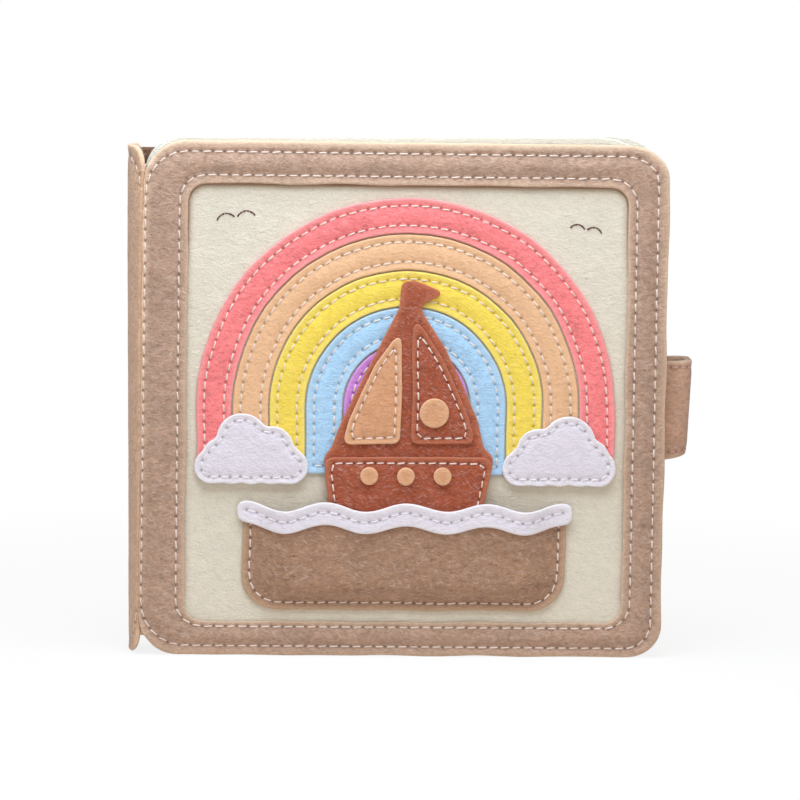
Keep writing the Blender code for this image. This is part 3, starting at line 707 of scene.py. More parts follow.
def eased(value):
    """Return a value in 0..1 with a soft start and end."""
    value = np.clip(value, 0, 1)
    return value * value * (3 - 2 * value)


def relief(points, seams, wave, seed, pierced=True):
    """Return the height of a felt's face, and how much painted shade darkens it at needle holes."""
    height = felt_waves(points, wave, seed) if wave else np.zeros(len(points))
    dark = np.zeros(len(points))
    for seam in seams:
        groove = distances(tree_of(seam.line), points)
        height -= seam.groove * np.exp(-((groove / seam.width) ** 2))
        if pierced:
            hole = distances(tree_of(seam.holes), points)
            height -= HOLE_DEPTH * np.exp(-((hole / HOLE_RADIUS) ** 2))
            dark = np.maximum(dark, np.exp(-((hole / HOLE_RADIUS) ** 2)))
    return height, dark


def seam_points(seams):
    """Return the extra points that a felt's face needs around its needle holes and along its seams."""
    found = [np.zeros((0, 2))]
    for seam in seams:
        found.append(seam.holes)
        for share, count in HOLE_RINGS:
            for number in range(count):
                angle = 2 * pi * number / count
                found.append(seam.holes + share * HOLE_RADIUS * np.array((cos(angle), sin(angle))))
        for start, end in seam.stitches():
            middle = (start + end) / 2
            along = (end - start) / max(hypot(*(end - start)), 1e-9)
            side = np.array((-along[1], along[0])) * seam.width
            found.append(np.array((middle, middle + side, middle - side)))
    kept = {}
    for across, up in np.vstack(found):
        kept.setdefault((round(across / POINT_SPACING), round(up / POINT_SPACING)), (across, up))
    return np.array(list(kept.values())).reshape(-1, 2)


def mesh_piece(name, points, faces, material):
    """Make a smooth mesh object from points and faces."""
    mesh = bpy.data.meshes.new(name)
    mesh.from_pydata([tuple(point) for point in points], [], [tuple(int(i) for i in face) for face in faces])
    mesh.validate()
    mesh.shade_smooth()
    mesh.materials.append(material)
    piece = bpy.data.objects.new(name, mesh)
    bpy.context.scene.collection.objects.link(piece)
    return piece


def edge_tone_and_painted_light(lines, shares, border, points):
    """Return how much each point shows its felt's edge colour: fully at a line, a little up to BORDER. That
    colour is partly the cut edge's own tone and partly painted highlight, and along the panel's window edge
    painted shadow.
    """
    tone = np.zeros(len(points))
    for line, share in zip(lines, shares):
        tree = tree_of(line)
        nearest = [tree.find((across, up, 0)) for across, up in points]
        away = np.array([found[2] for found in nearest])
        level = np.broadcast_to(share, len(line))[[found[1] for found in nearest]]
        flat = BORDER_SHARE * eased((border - away) / EDGE_STEP) if border else 0
        tone = np.maximum(tone, level * (flat + (1 - flat) * np.exp(-((away / RIM_WIDTH) ** 2))))
    return tone


def walled(upper, lower):
    """Return the faces between two rings of points."""
    return np.column_stack((upper, lower, np.roll(lower, -1), np.roll(upper, -1)))


def felt(name, loops, thickness, place, slot, seams=(), roll=EDGE_ROLL, wave=FELT_WAVE, step=FELT_STEP,
         flip=False, back_step=BACK_STEP, rims=(1.0, 1.0), border=0, line=None, look=None):
    """Make a closed felt from its outline, laid by PLACE, with its seams pressed in and its edge rolled.

    ROLL is how far the rolled edge reaches in and how deep it falls, or a function of the outline's points.
    RIMS is how strongly each outline, or LINE in place of it, shows the felt's edge colour, and BORDER how
    far a little of that colour reaches; that colour is partly the cut edge's own and partly painted
    highlight, and along a LINE it is painted shadow. LOOK is the felt's material where it isn't SLOT's.
    """
    seed = next(SEEDS)
    draw = np.random.default_rng(RANDOM_SEED + seed)
    loops = [wobbled(softened(spaced(loop, EDGE_STEP), EDGE_ROUNDS), CUT_WOBBLE) for loop in loops]
    rolls = [
        roll(loop) if callable(roll) else [np.full(len(loop), value) for value in roll]
        for loop in loops
    ]
    extra = seam_points(seams)
    if line is not None:
        extra = np.vstack([inset(line, away) for away in WINDOW_RINGS])
    lines = loops if line is None else [line]
    rims = [share(edge) if callable(share) else share for share, edge in zip(rims, lines)]
    top_rings = [inset(loop, reach) for loop, (reach, _) in zip(loops, rolls)]
    points, triangles = filled(top_rings, step, extra, draw)
    height, dark = relief(points, seams, wave, seed)
    back_rings = [inset(loop, BACK_ROLL) for loop in loops]
    back_points, back_triangles = filled(back_rings, back_step, np.zeros((0, 2)), draw)
    flat = []
    # rim holds the share of the edge colour, partly painted highlight and painted shadow along a LINE; hole
    # holds painted shade
    stored_values = {"hole": [], "rim": []}

    def add(line, level, hole=0):
        """Add points at a height, and return their numbers."""
        first = sum(len(part) for part in flat)
        flat.append(np.column_stack((line, np.broadcast_to(level, len(line)))))
        stored_values["hole"].append(np.broadcast_to(hole, len(line)))
        stored_values["rim"].append(edge_tone_and_painted_light(lines, rims, border, line))
        return np.arange(first, first + len(line))

    top = add(points, height, dark)
    faces = [top[triangles]]
    edges = []
    start = 0
    for loop, (reach, depth) in zip(loops, rolls):
        upper = top[start:start + len(loop)]
        crest = height[upper]
        for number in range(1, ROLL_STEPS + 1):
            angle = pi / 2 * (1 - number / ROLL_STEPS)
            level = crest * sin(angle) - depth * (1 - sin(angle))
            lower = add(inset(loop, reach * (1 - cos(angle))), level)
            faces.append(walled(upper, lower))
            upper = lower
        lower = add(loop, BACK_ROLL - thickness)
        faces.append(walled(upper, lower))
        edges.append((start, lower))
        start += len(loop)
    back = add(back_points, -thickness)
    faces.append(back[back_triangles[:, ::-1]])
    for start, upper in edges:
        faces.append(walled(upper, back[start:start + len(upper)]))
    if flip:
        faces = [group[:, ::-1] for group in faces]
    laid = np.column_stack(place(*np.vstack(flat).T))
    piece = mesh_piece(name, laid, [face for group in faces for face in group], MATERIALS[look or slot])
    for label, values in stored_values.items():
        attribute = piece.data.attributes.new(label, "FLOAT", "POINT")
        attribute.data.foreach_set("value", np.concatenate(values).astype(np.float32))

    def face(line):
        """Return the height of the felt's face along a seam."""
        return relief(line, seams, wave, seed, pierced=False)[0]

    return [piece] + [
        sew(f"{name}_thread_{number}", seam, place, flip, face)
        for number, seam in enumerate(seams, 1)
    ]


def sew(name, seam, place, flip=False, face=None):
    """Make a seam's stitches, each a short arched thread that dives into two holes of a felt's face."""
    draw = random.Random(RANDOM_SEED + len(seam.holes))
    centres = []
    sides = []
    fats = []
    rises = []
    for start, end in seam.stitches():
        along = end - start
        length = hypot(*along)
        side = np.array((-along[1], along[0])) / length
        slant = (STITCH_SLANT + draw.uniform(-SLANT_SPREAD, SLANT_SPREAD)) * length
        fat = seam.radius * draw.uniform(*THREAD_SPREAD)
        sunk = THREAD_SINK * draw.random() ** 2
        for share, rise in STITCH_SHAPE:
            off = share - 0.5
            centres.append(start + along * (0.5 + seam.reach * off) + side * slant * off)
            sides.append(side)
            fats.append(fat)
            rises.append(THREAD_LIFT * rise - sunk)
    centres = np.array(centres)
    sides = np.array(sides)
    fats = np.array(fats)
    seat = np.array(rises) + THREAD_SEAT + (face(centres) if face else 0)
    rings = []
    for corner in range(THREAD_SIDES):
        angle = 2 * pi * corner / THREAD_SIDES
        across = centres + sides * (fats * cos(angle))[:, None]
        rings.append(np.column_stack((across, seat + THREAD_FLATNESS * fats * sin(angle))))
    flat = np.stack(rings, axis=1).reshape(-1, 3)
    faces = []
    count = len(STITCH_SHAPE)
    for first in range(0, len(centres), count):
        numbers = np.arange(first * THREAD_SIDES, (first + count) * THREAD_SIDES)
        numbers = numbers.reshape(count, THREAD_SIDES)
        for lower, upper in zip(numbers, numbers[1:]):
            faces += list(np.column_stack((lower, np.roll(lower, -1), np.roll(upper, -1), upper)))
        faces += [numbers[0][::-1], numbers[-1]]
    laid = np.column_stack(place(*flat.T))
    if flip:
        faces = [face[::-1] for face in faces]
    return mesh_piece(name, laid, faces, MATERIALS[seam.thread])


def towards_front(face):
    """Lay a felt upright, its outer face at a depth, towards the viewer."""
    return lambda u, v, h: (u, face - h, v)


def towards_back(face):
    """Lay a felt upright, its outer face at a depth, towards the back."""
    return lambda u, v, h: (u, face + h, v)


def settle(pieces, body, nodes=()):
    """Make pieces ride on a body, the first of them in place of CAD nodes."""
    for piece in pieces:
        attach(piece, body)
    if nodes:
        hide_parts(*nodes)
    return pieces[0]


def cap_loops(node, facing):
    """Return the outlines of a flat CAD node's face that looks along Y, FACING being -1 or 1."""
    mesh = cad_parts[node].data
    keys = {}
    index = []
    points = []
    for vertex in mesh.vertices:
        key = tuple(round(value, 6) for value in vertex.co)
        if key not in keys:
            keys[key] = len(points)
            points.append((vertex.co.x, vertex.co.z))
        index.append(keys[key])
    ahead = {}
    for face in mesh.polygons:
        if face.normal.y * facing > 0.99:
            corners = [index[corner] for corner in face.vertices]
            for one, two in zip(corners, corners[1:] + corners[:1]):
                ahead.setdefault(one, set()).add(two)
    border = {}
    for one, others in ahead.items():
        for two in others:
            if one not in ahead.get(two, ()):
                border[one] = two
    loops = []
    while border:
        start, current = next(iter(border.items()))
        loop = [start]
        del border[start]
        while current != start:
            loop.append(current)
            current = border.pop(current)
        loops.append(np.array([points[corner] for corner in loop]))
    loops.sort(key=lambda loop: -np.ptp(loop[:, 0]))
    if facing > 0:
        loops = [loop[::-1] for loop in loops]
    return loops


def flat_area(loops):
    """Return the area of an outline with holes."""
    total = 0
    for loop in loops:
        ahead = np.roll(loop, -1, axis=0)
        total += 0.5 * (loop[:, 0] * ahead[:, 1] - ahead[:, 0] * loop[:, 1]).sum()
    return abs(float(total))


def declare(loops):
    """Work out a felt's flat size and area, which are not kept."""
    size = [float(np.ptp(loops[0][:, axis])) for axis in (0, 1)]
    flat_area(loops)


def flat_felt(name, node, body, facing, slot, loops=None, bend=None, **cut):
    """Make a felt in place of a flat CAD node whose outer face looks along Y, FACING being -1 or 1."""
    low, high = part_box(node)
    place = towards_front(low.y) if facing < 0 else towards_back(high.y)
    if loops is None:
        loops = cap_loops(node, facing)
    if bend:
        place = bend(place)
    pieces = felt(name, loops, high.y - low.y, place, slot, flip=facing > 0, **cut)
    return settle(pieces, body, [node])


def cover_roll(loop):
    """Return a wide roll along a cover's free edges, and a narrow one at its crease and its window."""
    if np.ptp(loop[:, 0]) < WINDOW_WIDTH_LIMIT:
        return tuple(np.full(len(loop), value) for value in FRAME_WINDOW_ROLL)
    share = eased((loop[:, 0] - CREASE_X - FRAME_ROLL_START) / FRAME_ROLL_GROWTH)
    rise = eased((loop[:, 1] - loop[:, 1].min()) / (2 * COVER_CORNER))
    free = [foot + (wide - foot) * rise for foot, wide in zip(FRAME_FOOT_ROLL, FRAME_ROLL)]
    return tuple(tight + (wide - tight) * share for tight, wide in zip(FRAME_CREASE_ROLL, free))


def cover_seam(low, high):
    """Return the seam round a cover, which runs along its crease."""
    left = CREASE_X + FRAME_SEAM_LEFT_INSET
    right = high.x - FRAME_SEAM_RIGHT_INSET
    line = rounded_box(left, right, low.z + COVER_SEAM_INSET, high.z - COVER_SEAM_INSET, FRAME_SEAM_CORNERS)
    return Seam(line, groove=COVER_GROOVE, width=COVER_GROOVE_WIDTH)


def lining_seam(loop):
    """Return the seam round a lining."""
    return Seam(seam_line(softened(spaced(loop, EDGE_STEP), LINING_ROUNDS), LINING_SEAM_INSET))


def window_seam(window):
    """Return the seam round the front cover's window."""
    left, floor = window.min(0)
    right, top = window.max(0)
    line = rounded_box(left - WINDOW_SEAM_SIDE, right + WINDOW_SEAM_SIDE, floor - WINDOW_SEAM_FLOOR,
                       top + WINDOW_SEAM_SIDE, WINDOW_SEAM_CORNER)
    return Seam(line, groove=WINDOW_GROOVE, width=COVER_GROOVE_WIDTH)


def cut_corners(loop, cuts):
    """Cut a cover's corners rounder, by the radii that CUTS names for each side's bottom and top corner."""
    loop = spaced(loop, EDGE_STEP)
    low = loop.min(0)
    high = loop.max(0)
    for side, corners in cuts.items():
        for radius, edge, up in zip(corners, (low[1], high[1]), (-1, 1)):
            radius = np.broadcast_to(radius, 2)
            out = -1 if side == "left" else 1
            centre = np.array((low[0] if out < 0 else high[0], edge)) - (out, up) * radius
            away = (loop - centre) / radius
            past = np.hypot(*away.T)
            cut = (away[:, 0] * out > 0) & (away[:, 1] * up > 0) & (past > 1)
            loop[cut] = centre + (away[cut] / past[cut][:, None]) * radius
    return loop


def cover_outline(loop):
    """Return the front cover's outline as its felt is cut: over the crease, and fuller at the top."""
    loop = spaced(loop, EDGE_STEP)
    middle = (loop[:, 1].min() + loop[:, 1].max()) / 2
    loop[:, 1] += FRAME_TOP_RISE * eased((loop[:, 1] - middle) / (loop[:, 1].max() - middle))
    loop = cut_corners(loop, FRAME_CORNERS)
    loop[:, 0] -= CREASE_OVERLAP * (loop[:, 0] < CREASE_X + 2 * CREASE_RADIUS)
    return loop


def frame_edge_highlight(loop):
    """Return how strongly the front cover's outline shows its pale edge colour: more towards the top. It is
    partly the cut edge's own and partly painted highlight, strongest at the top where the light falls.
    """
    low, high = FRAME_EDGE_HIGHLIGHT_SHARES
    up = (loop[:, 1] - loop[:, 1].min()) / np.ptp(loop[:, 1])
    return low + (high - low) * eased(up)


def painted_window_shadow(loop):
    """Return how much painted shadow darkens the panel along the window's edge, in the cream felt's brown
    edge colour: most below its top, where the frame's shadow falls, least at its foot.
    """
    up = loop[:, 1] - loop[:, 1].min()
    down = loop[:, 1].max() - loop[:, 1]
    top = eased((up - COVER_CORNER) / COVER_CORNER) * eased(WINDOW_PAINTED_SHADOW_REACH - down / (2 * COVER_CORNER))
    foot = eased(1 - up / COVER_CORNER)
    return WINDOW_PAINTED_SHADOW_SHARE + (1 - WINDOW_PAINTED_SHADOW_SHARE) * top - WINDOW_PAINTED_SHADOW_SHARE * foot


def make_front_cover():
    """Make the front cover's frame, panel and lining."""
    outer, window = cap_loops("front_cover_frame", -1)
    seams = [cover_seam(*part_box("front_cover_frame")), window_seam(window)]
    flat_felt("front_frame_felt", "front_cover_frame", "front_cover", -1, "taupe_felt",
              [cover_outline(outer), window], seams=seams, roll=cover_roll, wave=COVER_WAVE, step=FINE_STEP,
              rims=(frame_edge_highlight, WINDOW_RIM_SHARE), border=FRAME_BORDER)
    loops = cap_loops("front_cover_panel", -1)
    # The panel's edge colour is laid along the window's edge as painted shadow
    piece = flat_felt("front_panel_felt", "front_cover_panel", "front_cover", -1, "cream_felt", loops,
                      wave=PANEL_WAVE, line=spaced(window, EDGE_STEP), rims=[painted_window_shadow])
    declare(loops)
    loops = cap_loops("front_cover_lining", 1)
    piece = flat_felt("front_lining_felt", "front_cover_lining", "front_cover", 1, "taupe_felt", loops,
                      seams=[lining_seam(loops[0])])
    declare(loops)


def make_back_cover():
    """Make the back cover's outer felt and lining."""
    loops = [cut_corners(cap_loops("back_cover_outer", 1)[0], BACK_CORNERS)]
    piece = flat_felt("back_cover_felt", "back_cover_outer", "back_cover", 1, "taupe_felt", loops,
                      seams=[cover_seam(*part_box("back_cover_outer"))], roll=cover_roll, wave=COVER_WAVE)
    declare(loops)
    loops = [cut_corners(cap_loops("back_cover_lining", -1)[0], BACK_CORNERS)]
    piece = flat_felt("back_lining_felt", "back_cover_lining", "back_cover", -1, "taupe_felt", loops,
                      seams=[lining_seam(loops[0])])
    declare(loops)


def spine_place(radius):
    """Bend a felt round the spine, u being the depth, with its outer face at a radius.

    The spine is sewn flatter towards its foot, so its bulge grows with height.
    """
    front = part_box("front_cover_frame")[0].y + CREASE_RADIUS
    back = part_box("back_cover_outer")[1].y - CREASE_RADIUS
    low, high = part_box("spine_outer")
    middle = (front + back) / 2
    half = (back - front) / 2
    mean = (half**2 + SPINE_ARCH**2) / (2 * SPINE_ARCH)
    centre = CREASE_X + mean - SPINE_ARCH
    flat, full = SPINE_BULGE_SHARES

    def place(u, v, h):
        angle = np.arcsin(np.clip((u - middle) / mean, -1, 1))
        reach = radius(mean) + h
        out = CREASE_X - (centre - reach * np.cos(angle))
        share = flat + (full - flat) * (v - low.z) / (high.z - low.z)
        peak = eased(out / SPINE_ARCH)
        share = 1 + (share - 1) * peak
        droop = SPINE_FOOT_DROOP * peak * eased(1 - (v - low.z) / SPINE_DROOP_HEIGHT)
        return CREASE_X - out * share, middle + reach * np.sin(angle), v - droop

    return place, front, back


def make_spine():
    """Make the arched spine felt, with a seam round each end, and its lining."""
    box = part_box("spine_outer")
    place, front, back = spine_place(lambda mean: mean + CREASE_RADIUS)
    low = box[0].z + SPINE_FOOT_RISE
    high = box[1].z - SPINE_TOP_DROP
    corners = (SPINE_FOOT_CORNER, SPINE_TOP_CORNER, SPINE_TOP_CORNER, SPINE_FOOT_CORNER)
    outline = rounded_box(front + SPINE_SIDE_GAP, back - SPINE_SIDE_GAP, low, high, corners)
    ends = rounded_box(front + SPINE_SEAM_SIDE, back - SPINE_SEAM_SIDE, low + SPINE_SEAM_INSET,
                       high - SPINE_SEAM_INSET, (SPINE_SEAM_CORNER,) * 4)
    quarter = CORNER_STEPS + 1
    lines = (ends[quarter:3 * quarter], np.roll(ends, quarter, axis=0)[:2 * quarter])
    seams = [Seam(line, closed=False, radius=FINE_THREAD) for line in lines]
    pieces = felt("spine_felt", [outline], 2 * CREASE_RADIUS, place, "spine_felt", seams,
                  roll=SPINE_ROLL, wave=SPINE_WAVE, flip=True, rims=[spine_edge_highlight])
    settle(pieces, "spine", ["spine_outer"])
    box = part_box("spine_lining")
    place, _, _ = spine_place(lambda mean: mean - CREASE_RADIUS - LAYER_GAP)
    corners = (SPINE_FOOT_CORNER, SPINE_LINING_CORNER, SPINE_TOP_CORNER, SPINE_FOOT_CORNER)
    outline = rounded_box(box[0].y, box[1].y, low + SPINE_LINING_RISE, high - SPINE_LINING_DROP, corners)
    # The spine's lining is darkened as painted shade
    pieces = felt("spine_lining_felt", [outline], SPINE_LINING_FELT, place, "lining_felt", flip=True)
    settle(pieces, "spine", ["spine_lining"])


def spine_edge_highlight(loop):
    """Return how strongly the spine's outline shows its pale edge colour, partly the cut edge's own and
    partly painted highlight: at its round ends, hardly at its sides.
    """
    ends = np.minimum(loop[:, 1] - loop[:, 1].min(), loop[:, 1].max() - loop[:, 1])
    return SPINE_RIM_SHARE + (1 - SPINE_RIM_SHARE) * eased(SPINE_RIM_REACH - ends / SPINE_RIM_HEIGHT)


def make_creases():
    """Make the felt that runs under each crease's seam, from the spine to a cover."""
    place, front, back = spine_place(lambda mean: mean)
    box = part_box("front_cover_frame")
    low = box[0].z + CREASE_FOOT
    high = box[1].z - SPINE_TOP_DROP - SPINE_TOP_CORNER[1] - CREASE_TOP_GAP
    for name, crease, side in (("front", front, 1), ("back", back, -1)):
        start = place(np.array([crease + side * CREASE_START]), np.full(1, (low + high) / 2), np.zeros(1))
        path = [(start[0][0], start[1][0])]
        path += [(CREASE_X + across, crease + side * deep) for across, deep in CREASE_COURSE]
        piece = ribbon(f"{name}_crease_felt", path, CREASE_FELT, low, high, "spine_felt")
        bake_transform(piece)


def make_hinge_lining():
    """Make the strip of the back lining that shows in the notch at the spine's top, darkened as painted
    shade.
    """
    low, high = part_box("back_cover_lining")
    deep = (low.y + high.y) / 2
    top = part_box("front_cover_frame")[1].z - HINGE_TOP_DROP
    path = [(CREASE_X - HINGE_LAP, deep), (CREASE_X + HINGE_REACH, deep)]
    piece = ribbon("back_hinge_lining_felt", path, HINGE_FELT, top - HINGE_HEIGHT, top, "lining_felt")
    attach(piece, "back_cover")


def ribbon(name, path, thickness, low, high, slot):
    """Make an upright strip of felt along a path in plan."""
    line = spaced(np.array(path), EDGE_STEP / 2, closed=False)
    ahead = np.gradient(line, axis=0)
    ahead /= np.hypot(*ahead.T)[:, None]
    side = np.column_stack((-ahead[:, 1], ahead[:, 0])) * thickness / 2
    outline = np.vstack((line + side, (line - side)[::-1]))
    rows = int(ceil((high - low) / FELT_STEP))
    count = len(outline)
    levels = [low + (high - low) * row / rows for row in range(rows + 1)]
    points = [(across, deep, level) for level in levels for across, deep in outline]
    numbers = np.arange(len(points)).reshape(rows + 1, count)
    faces = []
    for lower, upper in zip(numbers, numbers[1:]):
        faces += list(np.column_stack((lower, np.roll(lower, -1), np.roll(upper, -1), upper)))
    for ring, turn in ((numbers[0], -1), (numbers[-1], 1)):
        for number in range(count // 2 - 1):
            quad = [ring[corner] for corner in (number, number + 1, count - 2 - number, count - 1 - number)]
            faces.append(quad[::turn])
    piece = mesh_piece(name, points, faces, MATERIALS[slot])
    return piece


def make_leaves():
    """Make the leaves, each of two cream felts that don't lie quite even."""
    for leaf in (1, 2, 3):
        for side, facing in (("front", -1), ("back", 1)):
            node = f"leaf_{leaf}_{side}_sheet"
            low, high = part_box(node)
            fore = high.x + LEAF_FORE_REACHES[leaf]
            corners = (LEAF_CORNER, LEAF_FORE_CORNER, LEAF_ROOT_CORNER, LEAF_CORNER)
            outline = rounded_box(low.x + LEAF_ROOT_INSET, fore, low.z, high.z, corners)
            seam = Seam(seam_line(outline, LEAF_SEAM_INSET))
            piece = flat_felt(f"leaf_{leaf}_{side}_felt", node, f"leaf_{leaf}", facing, "leaf_felt",
                              [outline], lambda flat: leaf_place(flat, leaf, low), seams=[seam],
                              step=LEAF_STEP)
            declare([outline])


def leaf_place(flat, leaf, foot):
    """Return the place of a leaf that is turned a little in its own plane and waves a little."""
    base, growth = LEAF_TILT_SHARES
    turn = radians(LEAF_TILT * (base + growth * leaf))

    def place(u, v, h):
        across = u - foot.x
        up = v - foot.z
        level = foot.z + up * cos(turn) + across * sin(turn)
        x, y, z = flat(foot.x + across * cos(turn) - up * sin(turn), level, h)
        swing = np.sin(across * LEAF_WAVE_SCALE + leaf * LEAF_WAVE_SHIFT)
        return x, y + LEAF_WAVE * swing * np.clip(across / LEAF_WAVE_START, 0, 1), z

    return place


def strap_course(offset):
    """Return the strap's course in plan, from its sewn root to its tongue, OFFSET outside its inner face."""
    low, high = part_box("strap_outer")
    thickness = 2 * STRAP_FELT + LAYER_GAP
    corner = high.x - thickness - STRAP_BEND
    back = high.y - thickness
    front = low.y + thickness
    line = [(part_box("strap_root")[0].x, back + offset)]
    for centre, start in ((back - STRAP_BEND, 90), (front + STRAP_BEND, 0)):
        line += list(arc_points((corner, centre), STRAP_BEND + offset, start, start - 90, STRAP_BEND_STEPS))
    line += [(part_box("fastener_loop_strip")[0].x, front - offset)]
    return np.array(line)


def strap_place(offset):
    """Bend a felt along the strap's course, u being the distance from the root's end."""
    line = spaced(strap_course(offset), STRAP_STEP, closed=False)
    line[1:-1] = 0.5 * line[1:-1] + 0.25 * (line[2:] + line[:-2])
    steps = np.hypot(*np.diff(line, axis=0).T)
    along = np.concatenate(([0], np.cumsum(steps)))
    ahead = np.gradient(line, axis=0)
    ahead /= np.hypot(*ahead.T)[:, None]
    low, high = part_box("strap_outer")
    middle = (low.z + high.z) / 2
    half = (high.z - low.z) / 2
    cover_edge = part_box("front_cover_frame")[1].x

    def place(u, v, h):
        x = np.interp(u, along, line[:, 0])
        y = np.interp(u, along, line[:, 1])
        tx = np.interp(u, along, ahead[:, 0])
        ty = np.interp(u, along, ahead[:, 1])
        out = np.clip((x - cover_edge) / (high.x - cover_edge), 0, 1)
        lean = out * (v - middle) * STRAP_LEAN
        pinch = np.clip(1 - (v - low.z) / STRAP_FOLD_CORNER, 0, 1)
        tuck = STRAP_FOLD_CORNER * (1 - np.sqrt(1 - pinch**2)) * eased(out)
        foot = np.clip((middle - v) / half, 0, 1) ** 2
        lift = foot * (STRAP_FOOT_SLOPE * out - STRAP_FOOT_SLOPE / 2)
        return x - ty * h + lean - tuck, y + tx * h, v + lift

    return place, along[-1]


def make_strap():
    """Make the strap's outer felt and lining, one run from the sewn root round to the tongue."""
    low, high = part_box("strap_outer")
    layers = (
        ("strap_outer_felt", 2 * STRAP_FELT + LAYER_GAP, ["strap_outer", "strap_root"]),
        ("strap_lining_felt", STRAP_FELT, ["strap_lining"]),
    )
    for name, offset, nodes in layers:
        place, length = strap_place(offset)
        outline = rounded_box(0, length, low.z, high.z, STRAP_CORNER)
        seams = []
        if name == "strap_outer_felt":
            line = rounded_box(STRAP_SEAM_INSET, length - STRAP_SEAM_INSET, low.z + STRAP_SEAM_INSET,
                               high.z - STRAP_SEAM_INSET, STRAP_SEAM_INSET / 2)
            seams.append(Seam(line, pitch=STRAP_PITCH, radius=FINE_THREAD, thread="thread_taupe"))
        # The strap's look is the taupe felt painted lighter, against the cover's shadow
        pieces = felt(name, [outline], STRAP_FELT, place, "taupe_felt", seams, roll=STRAP_ROLL, flip=True,
                      wave=STRAP_WAVE, step=FINE_STEP, back_step=BENT_BACK_STEP, look="painted_light_strap_felt")
        for piece in pieces:
            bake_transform(piece)
        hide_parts(*nodes)


def make_fastener():
    """Make the hook strip behind the rim and the loop strip on the tongue."""
    for kind, body, facing in (("hook", "front_cover", 1), ("loop", "strap", -1)):
        node = f"fastener_{kind}_strip"
        flat_felt(f"{node}_felt", node, body, facing, "hook_and_loop", roll=FASTENER_ROLL, wave=0)


def make_patches():
    """Make the rainbow's bands and the clouds."""
    for colour in ("pink", "peach", "yellow", "blue", "purple"):
        patch(f"rainbow_band_{colour}", "front_cover", f"{colour}_felt", PATCH_SEAM_INSET)
    for side in ("left", "right"):
        patch(f"cloud_{side}", "front_cover", "white_felt", CLOUD_SEAM_INSET, "thread_pale", FINE_THREAD)


def patch(node, body, slot, seam_inset, thread="thread_white", radius=THREAD_RADIUS):
    """Make a sewn felt patch from a flat CAD node."""
    loops = cap_loops(node, -1)
    seams = []
    if seam_inset:
        line = seam_line(softened(spaced(loops[0], EDGE_STEP), EDGE_ROUNDS), seam_inset)
        seams.append(Seam(line, pitch=PATCH_PITCH, thread=thread, radius=radius))
    flat_felt(f"{node}_felt", node, body, -1, slot, loops, seams=seams, roll=PATCH_ROLL, wave=PATCH_WAVE,
              border=seam_inset)


def make_boat():
    """Make the loose boat."""
    for node, (slot, seam_inset) in BOAT_PATCHES.items():
        patch(node, "boat", slot, seam_inset)


def pocket_shapes():
    """Return the pocket's middle, half width and floor, and the functions of its rim and its depth."""
    low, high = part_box("sea_pocket")
    middle = (low.x + high.x) / 2
    half = (high.x - low.x) / 2
    flat = high.y - POCKET_FELT

    def rim(across):
        wave = np.cos(2 * pi * RIM_WAVE_COUNT * (across - middle) / (2 * half))
        return high.z - RIM_WAVE_HEIGHT + RIM_WAVE_HEIGHT * wave

    def swell(distance, ramp):
        return eased((distance - POCKET_SEAM) / ramp)

    def face(across, level):
        aside = np.abs(across - middle)
        below = np.clip(POCKET_CORNER - (level - low.z), 0, POCKET_CORNER)
        width = half - POCKET_CORNER + np.sqrt(np.clip(POCKET_CORNER**2 - below**2, 0, None))
        past = np.clip(aside - (half - POCKET_CORNER), 0, POCKET_CORNER)
        floor = low.z + POCKET_CORNER - np.sqrt(np.clip(POCKET_CORNER**2 - past**2, 0, None))
        full = swell(width - aside, POCKET_SIDE_RAMP) * swell(level - floor, POCKET_RAMP)
        return flat + (low.y - flat) * full

    return middle, half, low.z, rim, face


def make_pocket():
    """Make the swelled pocket with its wavy rim."""
    middle, half, floor, rim, face = pocket_shapes()
    across = np.linspace(middle + half, middle - half, RIM_STEPS)
    outline = [np.column_stack((across, rim(across)))]
    for side, start in ((-1, 180), (1, 270)):
        centre = (middle + side * (half - POCKET_CORNER), floor + POCKET_CORNER)
        outline.append(arc_points(centre, POCKET_CORNER, start, start + 90, CORNER_STEPS))
    outline = np.vstack(outline)
    line = seam_line(softened(spaced(outline, EDGE_STEP), EDGE_ROUNDS), PATCH_SEAM_INSET)
    below = line[:, 1] < rim(line[:, 0]) - POCKET_SEAM_DROP
    start = int(np.argmax(below & ~np.roll(below, 1)))
    run = np.roll(line, -start, axis=0)[:below.sum()]
    seam = Seam(run, closed=False, pitch=POCKET_PITCH)
    pieces = felt("sea_pocket_felt", [outline], POCKET_FELT, lambda u, v, h: (u, face(u, v) - h, v),
                  "pocket_felt", [seam], roll=PATCH_ROLL, wave=POCKET_WAVE, step=POCKET_STEP,
                  back_step=BENT_BACK_STEP, border=PATCH_SEAM_INSET)
    settle(pieces, "front_cover", ["sea_pocket"])


